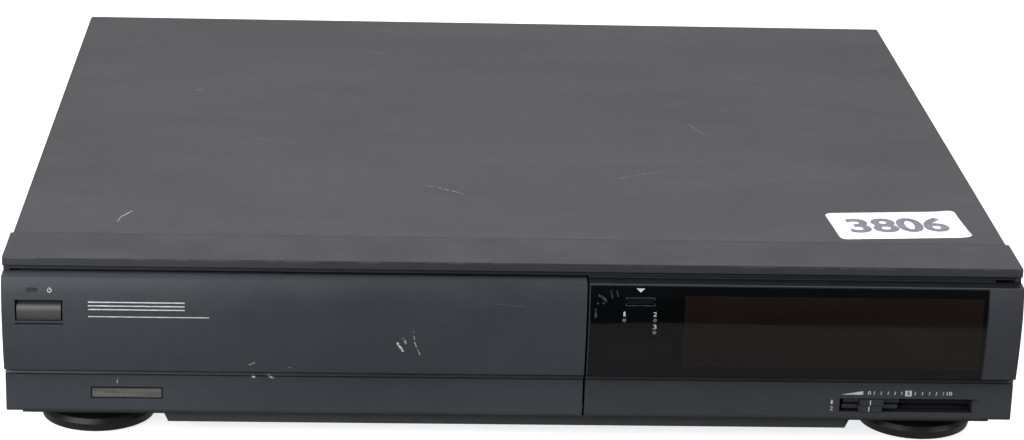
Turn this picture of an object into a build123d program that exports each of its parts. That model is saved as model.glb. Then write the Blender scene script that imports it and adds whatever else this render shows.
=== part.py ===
from build123d import *
import os
from math import sqrt, sin, cos, tan, pi, radians, degrees, atan2, hypot

# Front-loading video cassette recorder with a drop-down door on the left.
# Millimetres. Origin: centre of the footprint on the surface it stands on.
# +X to the right seen from the front, +Y to the back, +Z up.

# ---------------------------------------------------------------- sizes
W = 430.0                 # width over the front moulding
HX = W / 2
W_COVER = 428.8           # width of the metal top cover
CX = W_COVER / 2
Y_FACE = -190.0           # flat front face of visor and lower strip
Y_BULGE = -196.9          # most forward line of the barrel-shaped panel
Y_BAR0, Y_BAR1 = -193.7, -195.1   # its lower and upper edges
Y_BACK = 194.0            # rear edge of the top cover
Y_SEAM = -159.0           # seam between front moulding and top cover
H = 83.0                  # height over the top cover
T_COVER = 1.0             # cover sheet
Z_PAN0, Z_PAN1 = 12.9, 14.1   # chassis pan sheet
Z_BOX = 6.5               # underside of the bottom cover
Z_STRIP0 = 14.15          # underside of the front moulding behind its face
Z_LIP = 13.6              # bottom edge of the front face
Z_STRIP1 = 30.4           # top of the flat lower strip
Z_UP0 = 34.1              # bottom of the barrel-shaped panel
Z_UP1 = 75.8              # top of the barrel-shaped panel
Z_APEX = 62.0             # height of the most forward line
WALL = 2.4                # wall of the moulded front
X_GAP0, X_GAP1 = 29.7, 30.7   # vertical gap between door and right section
X_WIN0, X_WIN1 = 31.2, 200.4  # window
Z_WIN0, Z_WIN1 = 34.2, 75.5
AX_Y, AX_Z = -184.9, 17.6     # door hinge axis
XC = -79.0                # centre line of the cassette and the deck
CAS_W, CAS_D, CAS_H = 188.0, 104.0, 25.0
SLOT_X0, SLOT_X1 = XC - 96.0, XC + 96.0
SLOT_Z0, SLOT_Z1 = 45.5, 73.0
FY0, FY1 = -180.5, -178.0     # inner fascia plate
FLAP_Y, FLAP_Z = -176.7, 73.6 # flap hinge axis
FLAP_LEN = 26.6
DECK_Z0, DECK_Z1 = 22.4, 24.0
DECK_X0, DECK_X1 = XC - 113.0, XC + 113.0
DECK_Y0, DECK_Y1 = -148.0, 76.0
CARR_Y0, CARR_Y1 = -146.5, -58.0   # carriage at rest
CARR_IN, CARR_DOWN = 40.0, 20.0
DRUM_X, DRUM_Y, DRUM_R, DRUM_TILT = XC, 22.0, 31.0, 5.97
REEL_DX, REEL_Y = 46.0, -80.0
CAP_X, CAP_Y, CAP_R = XC + 52.0, -6.0, 1.5
PIN_X, PIN_Y = XC + 74.0, 14.0     # pinch arm pivot
PINCH_R = 7.0
CAM_X, CAM_Y, CAM_R = XC + 88.0, 52.0, 16.0
PAD = 0.3
REAR_Y0, REAR_Y1 = 184.8, 186.0
FOOT_X, FOOT_YF, FOOT_YB, FOOT_R = 179.0, -157.5, 148.0, 25.1

os.makedirs("parts", exist_ok=True)


# ---------------------------------------------------------------- helpers
def bx(x0, x1, y0, y1, z0, z1):
    return Pos((x0 + x1) / 2, (y0 + y1) / 2, (z0 + z1) / 2) * Box(abs(x1 - x0), abs(y1 - y0), abs(z1 - z0))


def cz(x, y, r, z0, z1):
    return Pos(x, y, (z0 + z1) / 2) * Cylinder(r, z1 - z0)


def cx(y, z, r, x0, x1):
    return Pos((x0 + x1) / 2, y, z) * Rot(0, 90, 0) * Cylinder(r, x1 - x0)


def cy(x, z, r, y0, y1):
    return Pos(x, (y0 + y1) / 2, z) * Rot(90, 0, 0) * Cylinder(r, y1 - y0)


def fuse(items):
    items = list(items)
    out = items[0]
    if len(items) > 1:
        out = out.fuse(*items[1:])
    return out


def group(items):
    return Compound(children=[s for it in items for s in it.solids()])


def prism(plane, segs, amount):
    """Closed outline of straight ('L') and three-point arc ('A') segments, extruded."""
    with BuildPart() as bp:
        with BuildSketch(plane):
            with BuildLine():
                for s in segs:
                    if s[0] == "L":
                        Line(s[1], s[2])
                    else:
                        ThreePointArc(s[1], s[2], s[3])
            make_face()
        extrude(amount=amount)
    return bp.part


def poly(points):
    return [("L", points[i], points[(i + 1) % len(points)]) for i in range(len(points))]


def px(segs, x0, x1):
    """Outline in (y, z), extruded from x0 to x1."""
    return prism(Plane.YZ.offset(x0), segs, x1 - x0)


def pz(points, z0, z1):
    return prism(Plane.XY.offset(z0), poly(points), z1 - z0)


def slot_z(x0, y0, x1, y1, r, z0, z1):
    """Round-ended slot body along Z."""
    a = atan2(y1 - y0, x1 - x0)
    n = (-sin(a) * r, cos(a) * r)
    body = pz([(x0 + n[0], y0 + n[1]), (x1 + n[0], y1 + n[1]), (x1 - n[0], y1 - n[1]), (x0 - n[0], y0 - n[1])], z0, z1)
    return fuse([body, cz(x0, y0, r, z0, z1), cz(x1, y1, r, z0, z1)])


def save(name, shape):
    sol = shape.solids()
    out = sol[0] if len(sol) == 1 else Compound(children=list(sol))
    export_step(out, os.path.join("parts", name + ".step"))
    print(name, len(sol), round(sum(s.volume for s in sol) / 1000, 2), "cm3")


# barrel profile of the front: two arcs that meet on the most forward line
R_LOW = ((Y_BAR0 - Y_BULGE) ** 2 + (Z_APEX - Z_UP0) ** 2) / (2 * (Y_BAR0 - Y_BULGE))
R_TOP = ((Y_BAR1 - Y_BULGE) ** 2 + (Z_UP1 - Z_APEX) ** 2) / (2 * (Y_BAR1 - Y_BULGE))


def yb(z, inset=0.0):
    """Front surface y at height z; inset moves it back inside the wall."""
    r = (R_LOW if z <= Z_APEX else R_TOP)
    return Y_BULGE + r - sqrt((r - inset) ** 2 - (z - Z_APEX) ** 2)


def arcs(z0, z1, inset=0.0):
    """Arc segments up the barrel from z0 to z1."""
    p = lambda z: (yb(z, inset), z)
    out = []
    if z0 < Z_APEX:
        t = min(z1, Z_APEX)
        out.append(("A", p(z0), p((z0 + t) / 2), p(t)))
    if z1 > Z_APEX:
        b = max(z0, Z_APEX)
        out.append(("A", p(b), p((b + z1) / 2), p(z1)))
    return out


def back(segs):
    return [("L", s[2], s[1]) if s[0] == "L" else ("A", s[3], s[2], s[1]) for s in reversed(segs)]


def chain(pts):
    return [("L", pts[i], pts[i + 1]) for i in range(len(pts) - 1)]


LOW = [(-189.2, Z_LIP), (-190.0, 14.9), (-190.0, 30.4), (-189.0, 30.45), (-189.0, 30.9),
       (-190.1, 31.1), (-188.9, 33.3), (-193.0, 33.7), (yb(Z_UP0), Z_UP0)]
TOPEDGE = [(yb(Z_UP1), Z_UP1), (-194.9, 76.1), (-187.4, 76.2)]


def front_shell(x0, x1, low=True, up=True):
    """Moulded wall that follows the whole front profile."""
    inner = arcs(36.0, 74.0, WALL)
    segs = chain(LOW) + arcs(Z_UP0, Z_UP1) + chain(TOPEDGE) + [("L", TOPEDGE[-1], inner[-1][3])] + back(inner)
    segs += chain([(yb(36.0, WALL), 36.0), (-186.4, 33.6), (-186.4, 30.2), (-187.2, 29.4), (-187.2, Z_LIP), LOW[0]])
    return px(segs, x0, x1)


def front_full(x0, x1, yback=-187.2):
    """End wall: the front profile filled back to a plane."""
    segs = chain(LOW) + arcs(Z_UP0, Z_UP1) + chain([TOPEDGE[0], TOPEDGE[1], (yback, 76.2), (yback, Z_LIP), LOW[0]])
    return px(segs, x0, x1)


def screw(kind, x, y, z, direction, r=3.1, h=1.7, shank=5.0, rs=1.4):
    """Pan head screw; the head's underside is at the given point, the head stands out along direction."""
    head = Cylinder(r, h, align=(Align.CENTER, Align.CENTER, Align.MIN))
    head = chamfer(head.edges().sort_by(Axis.Z)[-1], min(0.55, h * 0.5))
    body = Pos(0, 0, -shank) * Cylinder(rs, shank + 0.2, align=(Align.CENTER, Align.CENTER, Align.MIN))
    s = head + body
    s = s - Pos(0, 0, h - 0.45) * Box(3.4, 0.7, 1.0) - Pos(0, 0, h - 0.45) * Box(0.7, 3.4, 1.0)
    rot = {"+x": Rot(0, 90, 0), "-x": Rot(0, -90, 0), "+y": Rot(-90, 0, 0), "-y": Rot(90, 0, 0), "-z": Rot(180, 0, 0), "+z": Rot(0, 0, 0)}[direction]
    return Pos(x, y, z) * rot * s


# ================================================================ casing
# ---- top cover: folded sheet, open at front, rear and bottom
def u_profile(hx, top, r, z0):
    return [("L", (-hx, z0), (-hx, top - r)), ("A", (-hx, top - r), (-hx + r * (1 - cos(pi / 4)), top - r + r * sin(pi / 4)), (-hx + r, top)),
            ("L", (-hx + r, top), (hx - r, top)), ("A", (hx - r, top), (hx - r * (1 - cos(pi / 4)), top - r + r * sin(pi / 4)), (hx, top - r)),
            ("L", (hx, top - r), (hx, z0)), ("L", (hx, z0), (-hx, z0))]


def pxz(segs, y0, y1):
    """Outline in (x, z), extruded from y0 to y1."""
    return prism(Plane(origin=(0, y1, 0), x_dir=(1, 0, 0), z_dir=(0, -1, 0)), segs, y1 - y0)


Z_COV0 = 15.6
cover = pxz(u_profile(CX, H, 1.8, Z_COV0), Y_SEAM + 0.25, Y_BACK)
cover -= pxz(u_profile(CX - T_COVER, H - T_COVER, 0.8, Z_COV0 - 1), Y_SEAM - 1, Y_BACK + 1)
# rear flange that the rear screws pass through
cover += bx(-CX + 1, CX - 1, REAR_Y1 + 0.1, REAR_Y1 + 1.0, H - 11.0, H - T_COVER)
cover += bx(-CX + 1, CX - 1, REAR_Y1 + 0.1, Y_BACK, H - 2.0, H - T_COVER)
# side vents
vents = []
for i in range(9):
    y = 60.0 + i * 9.0
    for s in (-1, 1):
        vents.append(bx(s * (CX + 1), s * (CX - 3), y, y + 3.2, 44.0, 66.0))
cover -= fuse(vents)
SIDE_SCREWS = [(-110.0, 27.0), (120.0, 27.0)]
cover -= fuse([cx(y, z, 1.7, s * (CX - 2), s * (CX + 1)) if s > 0 else cx(y, z, 1.7, -CX - 1, -CX + 2) for s in (-1, 1) for (y, z) in SIDE_SCREWS])
REAR_SCREWS = [-180.0, 0.0, 180.0]
cover -= fuse([cy(x, H - 6.5, 1.7, REAR_Y1 - 1, REAR_Y1 + 3) for x in REAR_SCREWS])
save("top_cover", cover)

# ---- chassis pan with side walls
pan = bx(-206.5, 206.5, -178.6, REAR_Y0 - 0.1, Z_PAN0, Z_PAN1)
pan -= bx(-140, 137, -140, 110, 10, 16)
pan += fuse([bx(-206.5, -205.3, -158.0, REAR_Y0 - 0.1, Z_PAN1, 62.0), bx(205.3, 206.5, -158.0, REAR_Y0 - 0.1, Z_PAN1, 62.0)])
# outward flanges that the cover's side screws go into
for s in (-1, 1):
    for (y, z) in SIDE_SCREWS:
        a, b = sorted((s * 206.4, s * (CX - T_COVER - 0.1)))
        pan += bx(a, b, y - 8, y + 8, z - 8, z + 8)
        pan -= cx(y, z, 1.4, min(s * 204, s * 215), max(s * 204, s * 215))
FEET = [(-FOOT_X, FOOT_YF), (FOOT_X, FOOT_YF), (-FOOT_X, FOOT_YB), (FOOT_X, FOOT_YB)]
pan -= fuse([cz(x, y, 1.4, 10, 16) for x, y in FEET])
DECK_POSTS = [(DECK_X0 + 7, DECK_Y0 + 9), (DECK_X1 - 7, DECK_Y0 + 9), (DECK_X0 + 7, DECK_Y1 - 7), (DECK_X1 - 7, DECK_Y1 - 7)]
pan += fuse([cz(x, y, 3.5, Z_PAN1 - 0.2, DECK_Z0) for x, y in DECK_POSTS if abs(x) > 141 or y < -141] or [])
save("bottom_chassis", pan)

# ---- bottom cover: shallow sheet box under the pan with cooling slots and a lip along the front
BCX0, BCX1, BCY0, BCY1, Z_FLIP = -147.2, 144.6, -183.0, 118.0, 11.2
bcs = lambda dx, z0, z1: poly([(BCX0 + dx - 0.45 * (z1 - Z_BOX), z1), (BCX0 + dx, z0), (BCX1 - dx, z0), (BCX1 - dx + 0.45 * (z1 - Z_BOX), z1)])
bc = pxz(bcs(0, Z_BOX, Z_PAN0), -178.3, BCY1) + pxz(bcs(0, Z_BOX, Z_FLIP), BCY0, -178.2)
bc += bx(-209.0, 207.0, BCY0, -176.0, Z_FLIP - 1.0, Z_FLIP)
bc -= pxz(bcs(1.0, Z_BOX + 1.0, Z_PAN0 + 0.2), -177.3, BCY1 - 1.0)
bc -= pxz(bcs(1.0, Z_BOX + 1.0, Z_FLIP - 1.0), BCY0 + 1.0, -177.2)
cuts = []
for i in range(14):
    for (xa, xb) in ((-125.0, -85.0), (85.0, 125.0)):
        cuts.append(bx(xa, xb, -110 + i * 8.0, -106.8 + i * 8.0, 5, 8))
bc -= fuse(cuts)
save("bottom_cover", bc)

# ---- rear panel
rear = bx(-206.5, 206.5, REAR_Y0, REAR_Y1, Z_PAN0, H - T_COVER - 0.3)
rc = []
for i in range(12):
    rc.append(bx(-120 + i * 8.0, -116.8 + i * 8.0, 180, 190, 30, 62))
rc.append(bx(-181.5, -158.5, 180, 190, 24.0, 36.0))      # mains inlet
rc += [cy(x, z, 6.2, 180, 190) for x in (28.0, 46.0, 64.0) for z in (28.0, 46.0)]   # phono jacks with their bosses
rc += [cy(150.0, z, 7.6, 180, 190) for z in (34.0, 56.0)]  # aerial sockets with their collars
rc += [cy(x, H - 6.5, 1.4, 180, 190) for x in REAR_SCREWS]
rc += [cy(x, 37.0, 1.4, 180, 190) for x in (18.5, 73.5)]
rear -= fuse(rc)
save("rear_panel", rear)


# ---- feet: flared discs on a narrow neck, with a rubber pad under each
def foot(x, y):
    prof = [(0, 1.0), (24.3, 1.0), (25.1, 4.4), (24.2, 6.6), (17.6, 9.4), (16.4, Z_PAN0), (0, Z_PAN0)]
    with BuildPart() as f:
        with BuildSketch(Plane.XZ):
            with BuildLine():
                Polyline(*prof, close=True)
            make_face()
        revolve(axis=Axis.Z)
    s = f.part
    s -= cz(0, 0, 21.0, 0, 2.2) - cz(0, 0, 7.0, -1, 3)
    s -= cz(0, 0, 3.6, 0, 7.0) + cz(0, 0, 1.5, 0, 20)
    return Pos(x, y, 0) * s


save("feet", group([foot(x, y) for x, y in FEET]))
pads = []
for x, y in FEET:
    p = cz(x, y, 20.8, 0.0, 2.15) - cz(x, y, 7.3, -1, 3)
    pads.append(p)
save("foot_pads", group(pads))
foot_screws = [screw("f", x, y, 6.9, "-z", shank=9.5) for x, y in FEET]
side_screws = [screw("s", s * CX, y, z, "+x" if s > 0 else "-x", r=3.1, h=0.55, shank=6.0) for s in (-1, 1) for (y, z) in SIDE_SCREWS]
rear_screws = [screw("r", x, REAR_Y1 + 1.0, H - 6.5, "+y", shank=5.5) for x in REAR_SCREWS]
jack_screws = [screw("j", x, REAR_Y1, 37.0, "+y", r=2.6, h=1.5, shank=6.0) for x in (18.5, 73.5)]
save("case_screws", group(side_screws + rear_screws + foot_screws + jack_screws))

# ================================================================ front moulding
bez = bx(-HX, HX, Y_FACE, Y_SEAM, 80.6, H)                       # flat strip along the top
bez += bx(-HX, HX, Y_FACE, -186.6, 79.1, 80.7)                   # visor front
bez += bx(-HX, HX, -186.9, -184.6, 76.9, 80.7)                   # wall behind the groove
bez += bx(-HX, -212.3, -186.0, Y_SEAM, Z_STRIP0, 80.7)           # left cheek
bez += bx(212.3, HX, -187.7, Y_SEAM, Z_STRIP0, 80.7)             # right cheek
bez += bx(-212.4, 212.4, -178.6, -176.4, Z_STRIP0, 17.4)         # bottom beam
bez += bx(X_GAP1, 33.2, -187.3, -160.0, Z_STRIP0, 80.7)          # divider beside the door
# visor front edges slightly rounded
bez = fillet(bez.edges().filter_by(Axis.X).filter_by(lambda e: abs(e.center().Y - Y_FACE) < 1e-3 and e.center().Z > 79.0 and e.length > 400), 0.5)
# right section: pillar, lower strip, band under the window
right = front_shell(X_GAP1, HX)
right += front_full(212.3, HX, -187.3)
right += front_full(X_GAP1, X_GAP1 + 2.4, -187.25) & bx(0, 60, -200, -180, 10, Z_WIN0 - 0.5)
right -= bx(X_WIN0 - 0.1, X_WIN1 + 0.1, -200, -185, Z_UP0 - 0.02, Z_WIN1 + 0.12)
# thin bridge over the window's top edge stays; a rebate frame carries the window from behind
frame = bx(X_GAP1 + 0.2, 204.0, -188.2, -186.4, 33.0, 76.8)
rim_face = arcs(34.2, 75.4, 2.0)
frame += px(rim_face + chain([(yb(75.4, 2.0), 75.4), (-186.6, 75.4), (-186.6, 34.2), (yb(34.2, 2.0), 34.2)]), X_WIN0 + 0.2, X_WIN1 + 0.6)
frame -= bx(36.0, 198.9, -200, -185, 37.4, 73.0)
frame -= bx(30.0, 47.0, -190, -185, 64.0, 72.8)
bez += right
bez += frame
bez += bx(X_GAP1, 212.4, -187.3, -176.4, Z_STRIP0, 15.6)         # floor behind the lower strip
# recess for the two level slides
bez += bx(138.6, 202.4, -187.3, -183.6, 15.9, 24.6)
bez -= bx(140.5, 198.3, -191, -184.8, 16.9, 23.2)
bez -= pz([(198.2, -184.9), (198.2, -188.0), (200.9, -190.01), (200.9, -191), (198.0, -191), (198.0, -184.9)], 16.9, 23.2)
for zc in (21.2, 18.6):
    bez -= bx(141.8, 197.6, -190, -180, zc - 0.55, zc + 0.55)
# room for the door's swinging lower edge, the latch lever and the hinge end
bez -= cx(AX_Y, AX_Z, 6.1, -216.0, 29.9)
bez -= bx(-216, X_GAP0 + 0.2, -192, -178.7, 10, 17.5)
bez -= bx(30.0, 34.0, -186.6, -165.0, 65.6, 70.4)
save("front_bezel", bez)

# ---- smoked window
win_segs = arcs(Z_WIN0, Z_WIN1) + [("L", (yb(Z_WIN1), Z_WIN1), (yb(Z_WIN1, 1.9), Z_WIN1))] + back(arcs(Z_WIN0, Z_WIN1, 1.9)) + [("L", (yb(Z_WIN0, 1.9), Z_WIN0), (yb(Z_WIN0), Z_WIN0))]
win = px(win_segs, X_WIN0, X_WIN1)
BTN_X0, BTN_X1, BTN_Z0, BTN_Z1 = 46.6, 57.8, 67.5, 69.9
win -= bx(BTN_X0 - 0.3, BTN_X1 + 0.3, -199, -185, BTN_Z0 - 0.3, BTN_Z1 + 0.3)
LEDS = [(45.6, 60.5), (58.6, 60.6), (58.6, 55.0)]
win -= fuse([cy(x, z, 0.92, -199, -185) for x, z in LEDS])
save("display_window", win)
save("display_filter", bx(71.1, 198.3, -192.4, -191.6, 38.8, 71.4))
save("indicator_lights", group([cy(x, z, 0.875, yb(z) + 0.05, -184.0) for x, z in LEDS]))
save("display_tube", bx(84.0, 188.0, -185.6, -184.2, 43.0, 67.0) + bx(86.0, 186.0, -184.3, -178.2, 44.0, 66.0) + bx(180.0, 184.0, -184.3, -176.2, 40.5, 44.2))
ir = bx(47.0, 57.0, -183.0, -177.0, 40.5, 50.5) + cy(52.0, 45.5, 3.6, -186.0, -182.9)
save("infrared_receiver", ir)

# ---- circuit boards of the front: display board and key board
fb = bx(37.0, 208.0, -176.1, -174.6, 27.5, 75.5)
fb -= bx(36.0, 58.0, -178, -172, 63.5, 71.5)
kb = bx(-196.0, 24.0, -173.9, -172.4, 19.0, 42.5)
KEYS = {  # name: (x, z, width, height)
    "rewind_button": (-160.0, 31.0, 22.0, 9.0),
    "play_button": (-131.0, 31.0, 28.0, 12.0),
    "fast_forward_button": (-102.0, 31.0, 22.0, 9.0),
    "stop_button": (-75.0, 31.0, 22.0, 9.0),
    "pause_button": (-47.0, 31.0, 22.0, 9.0),
    "record_button": (-19.0, 31.0, 22.0, 9.0),
    "eject_button": (9.0, 31.0, 20.0, 9.0),
}
sw = [bx(x - 3, x + 3, -175.4, -173.8, z - 3, z + 3) for x, z, w, h in KEYS.values()]
chips = [bx(x, x + 11, -174.7, -172.6, z, z + 7) for x, z in ((70, 32), (96, 32), (130, 50), (160, 30))]
chips.append(bx(118, 140, -174.7, -171.8, 55, 70))
save("front_circuit_board", group([fuse([fb] + chips), fuse([kb] + sw)]))

# ---- level slides
unit = bx(137.0, 203.0, -182.6, -178.8, 16.0, 26.0)
for zc in (21.2, 18.6):
    unit -= bx(140.6, 199.6, -183, -179.6, zc - 0.6, zc + 0.6)
save("level_slide_unit", unit)


def level_knob(xm, zlo, zhi, zc, low_block):
    wing = bx(xm - 12.1, xm + 12.0, -188.4, -186.2, zlo + 0.35, zhi - 0.1)
    wing = wing - bx(xm - 12.2, xm - 5.0, -189, -187.6, zlo - 1, zlo + 1.1) - bx(xm + 5.0, xm + 12.2, -189, -187.6, zlo - 1, zlo + 1.1)
    mid = bx(xm - 5.0, xm + 5.0, -190.5, -185.2, zlo, zhi)
    mid = mid - bx(xm - 0.25, xm + 0.25, -191, -190.2, zlo - 1, zhi + 1)
    stem = bx(xm - 1.6, xm + 1.6, -185.4, -180.2, zc - 0.3, zc + 0.3)
    return fuse([wing, mid, stem])


save("level_knob_left", level_knob(154.3, 20.05, 22.75, 21.2, False))
save("level_knob_right", level_knob(153.8, 17.15, 19.85, 18.6, True))

# ---- push-to-open button and its lever
ob = bx(BTN_X0, BTN_X1, -196.0, -186.0, BTN_Z0, BTN_Z1) + bx(51.0, 53.0, -186.2, -175.4, 66.7, 68.7)
ob += bx(48.6, 55.8, -186.3, -185.6, 65.4, 70.9)
save("open_button", ob)
LAT_X, LAT_Y = 40.0, -172.0
lat = cz(LAT_X, LAT_Y, 3.2, 66.5, 69.5) + bx(LAT_X, 54.0, -175.1, -172.6, 66.9, 68.9)
lat += pz([(24.4, -182.4), (28.8, -182.4), (30.0, -178.2), (39.0, -174.6), (40.5, -170.5), (38.0, -169.8), (28.6, -174.6), (24.4, -180.6)], 66.9, 68.9)
lat -= cz(LAT_X, LAT_Y, 1.55, 60, 75)
save("door_latch", lat)

# ================================================================ door
door = front_shell(-HX, X_GAP0)
door += front_full(-HX, -HX + 2.2)
door += front_full(X_GAP0 - 1.8, X_GAP0)
PB_X0, PB_X1, PB_Z0, PB_Z1 = -209.4, -189.6, 55.5, 66.5
door -= bx(PB_X0, PB_X1, -199, -180, PB_Z0, PB_Z1)
door += bx(PB_X0 - 0.3, PB_X1 + 0.3, -197.0, -193.9, 56.3, 57.0)
led_cut = bx(-203.7, -200.5, -199, -185, 70.0, 71.6) + cy(-203.7, 70.8, 0.8, -199, -185) + cy(-200.5, 70.8, 0.8, -199, -185)
door -= led_cut
door -= bx(-179.2, -148.8, -190.5, -189.6, 19.8, 25.1)
EARS = [(-211.6, -209.4), (25.0, 27.2)]
for x0, x1 in EARS:
    ear = cx(AX_Y, AX_Z, 2.9, x0, x1) + px(poly([(-187.3, 14.8), (-187.3, 22.4), (-184.9, 20.5), (-182.0, 17.6), (-184.9, 14.7)]), x0, x1)
    door += ear
# toothed sector beside the left ear, in mesh with the damper gear
MOD, N_SEC, N_DAMP = 0.8, 14, 10
R_SEC, R_DAMP = MOD * N_SEC / 2, MOD * N_DAMP / 2


def tooth_outline(n, m, thick, phase, ks):
    """Corner points of straight-flanked teeth, in order round the root circle."""
    rp = m * n / 2
    rr, rt = rp - 1.15 * m, rp + 0.62 * m
    half_p = thick * pi * m / 2 / rp
    ar, ap, at = half_p * 1.25, half_p, half_p * 0.55
    pts = []
    for k in ks:
        a = phase + 2 * pi * k / n
        for r, da in ((rr, -ar), (rp, -ap), (rt, -at), (rt, at), (rp, ap), (rr, ar)):
            pts.append((r * cos(a + da), r * sin(a + da)))
    return pts


CONTACT = radians(58.0)      # direction from the hinge axis to the damper axis
DAMP_Y = AX_Y + (R_SEC + R_DAMP + 0.08) * cos(CONTACT)
DAMP_Z = AX_Z + (R_SEC + R_DAMP + 0.08) * sin(CONTACT)
SX0, SX1 = -208.9, -206.7
sec = px(poly([(0.0, 0.0)] + tooth_outline(N_SEC, MOD, 0.36, CONTACT, range(-4, 2))), SX0, SX1)
sec = sec + cx(0, 0, 2.6, SX0 - 0.8, SX1)
door += Pos(0, AX_Y, AX_Z) * sec
door -= cx(AX_Y, AX_Z, 1.35, -212.1, -205.0)
door -= cx(AX_Y, AX_Z, 1.35, 24.0, 27.6)
save("door_panel", door)

liner = bx(-212.0, 27.0, -186.3, -184.9, 24.0, 74.4)
liner += bx(-212.0, 27.0, -188.3, -186.2, 72.9, 74.4)
liner -= bx(PB_X0 - 0.5, PB_X1 + 0.5, -190, -180, 54.0, 67.4)
liner -= bx(-206.0, -198.4, -190, -180, 68.8, 72.6)
liner -= bx(-213, -205.6, -190, -180, 20.0, 31.5)
liner -= fuse([bx(x, x + 26.0, -185.5, -184.5, 30.0, 40.0) for x in (-180.0, -150.0, -120.0, -90.0, -60.0, -30.0)])
save("door_liner", liner)

save("door_hinge_pins", group([cx(AX_Y, AX_Z, 1.3, -212.4, -203.6), cx(AX_Y, AX_Z, 1.3, 21.6, 27.6)]))
save("power_light", (bx(-203.7, -200.5, yb(70.8) + 0.1, -186.2, 70.1, 71.5) + cy(-203.7, 70.8, 0.7, yb(70.8) + 0.1, -186.2) + cy(-200.5, 70.8, 0.7, yb(70.8) + 0.1, -186.2)) + bx(-205.6, -198.8, -187.0, -186.0, 69.2, 72.2))
save("nameplate", bx(-179.0, -149.0, -190.15, -189.62, 20.0, 24.9))

# power button: convex bar with a sloped top, on a round stem
pb_prof = [("L", (-189.0, 57.35), (-196.1, 57.35)), ("A", (-196.1, 57.35), (-196.85, 60.2), (-196.25, 63.0)),
           ("L", (-196.25, 63.0), (-193.8, 65.6)), ("L", (-193.8, 65.6), (-189.0, 65.6)), ("L", (-189.0, 65.6), (-189.0, 57.35))]
pb = px(pb_prof, -208.7, -190.35)
pb += cy(-200.0, 60.6, 2.4, -189.3, -182.3)
pb += bx(-208.2, -191.0, -189.2, -188.2, 57.6, 64.4)
save("power_button", pb)

# damper gear on its axle, carried by the fascia
dg = Pos(0, DAMP_Y, DAMP_Z) * px(poly(tooth_outline(N_DAMP, MOD, 0.36, CONTACT + pi + pi / N_DAMP, range(N_DAMP))), SX0 + 0.1, SX1 - 0.1)
dg += cx(DAMP_Y, DAMP_Z, 1.0, SX1 - 0.3, SX1 + 4.0)
save("door_damper_gear", dg)

# ================================================================ inner fascia
fas = bx(-211.9, 29.9, FY0, FY1, 17.9, 76.6)
fas += bx(-211.9, 29.9, FY1 - 0.1, -176.2, 75.4, 76.6)
fas -= bx(SLOT_X0, SLOT_X1, -185, -170, SLOT_Z0, SLOT_Z1)
# throat below and beside the slot
fas += bx(SLOT_X0 - 1.6, SLOT_X1 + 1.6, FY1 - 0.1, -172.0, SLOT_Z0 - 1.6, SLOT_Z0 - 0.05)
# flap hinge ears
for x0, x1 in ((SLOT_X0 - 3.2, SLOT_X0 - 1.2), (SLOT_X1 + 1.2, SLOT_X1 + 3.2)):
    fas += bx(x0, x1, FY1 - 0.1, -174.6, 71.4, 76.6)
    fas -= cx(FLAP_Y, FLAP_Z, 1.05, x0 - 1, x1 + 1)
for x, z, w, h in KEYS.values():
    fas -= bx(x - w / 2 - 0.3, x + w / 2 + 0.3, -185, -170, z - h / 2 - 0.3, z + h / 2 + 0.3)
TRK_X, TRK_Z = -186.0, 31.0
fas -= cy(TRK_X, TRK_Z, 3.05, -185, -170)
# hinge lugs
for x0, x1 in ((-206.3, -203.8), (21.8, 24.4)):
    fas += cx(AX_Y, AX_Z, 2.0, x0, x1) + px(poly([(-184.9, 19.55), (-184.9, 15.7), (-181.2, 17.9), (-180.4, 17.9), (-180.4, 23.4)]), x0, x1)
    fas -= cx(AX_Y, AX_Z, 1.3, x0 - 1, x1 + 1)
# damper carrier
fas += cx(DAMP_Y, DAMP_Z, 3.6, SX1 + 0.4, SX1 + 2.6) + bx(SX1 + 0.4, SX1 + 2.6, DAMP_Y, -180.4, DAMP_Z - 3.4, DAMP_Z + 3.4)
fas -= cx(DAMP_Y, DAMP_Z, 1.05, SX1 - 1, SX1 + 5)
fas -= bx(-212.5, SX1 + 0.35, -186, -170, 15, 36.5)            # window for the sector and gear
fas -= bx(24.6, 31.0, -186, -170, 15, 23.0)
fas -= bx(22.6, 31.0, -186, -170, 65.4, 70.6)                    # latch lever
fas -= cy(-200.0, 60.6, 3.4, -186, -170)
save("inner_fascia", fas)

# cassette flap: hangs behind the slot and swings inwards
flap = bx(SLOT_X0 + 0.8, SLOT_X1 - 0.8, FLAP_Y - 0.75, FLAP_Y + 0.75, FLAP_Z - FLAP_LEN, FLAP_Z)
flap += cx(FLAP_Y, FLAP_Z, 1.15, SLOT_X0 - 0.8, SLOT_X1 + 0.8)
flap += cx(FLAP_Y, FLAP_Z, 1.0, SLOT_X0 - 3.0, SLOT_X1 + 3.0)
flap += fuse([bx(x, x + 1.2, FLAP_Y + 0.7, FLAP_Y + 1.9, FLAP_Z - 24.0, FLAP_Z - 3.0) for x in (XC - 70, XC - 30, XC + 30, XC + 69)])
save("cassette_flap", flap)

# transport keys
for name, (x, z, w, h) in KEYS.items():
    key = bx(x - w / 2, x + w / 2, -183.4, FY1 + 0.2, z - h / 2, z + h / 2)
    key = chamfer(key.edges().filter_by(lambda e: abs(e.center().Y + 183.4) < 1e-3), 0.5)
    key += bx(x - w / 2 - 0.9, x + w / 2 + 0.9, FY1 + 0.15, FY1 + 1.0, z - h / 2 - 0.9, z + h / 2 + 0.9)
    key += cy(x, z, 1.6, FY1 + 0.9, -176.7)
    if name == "record_button":
        key -= cy(x, z, 1.6, -184, -183.1)
    save(name, key)

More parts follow.
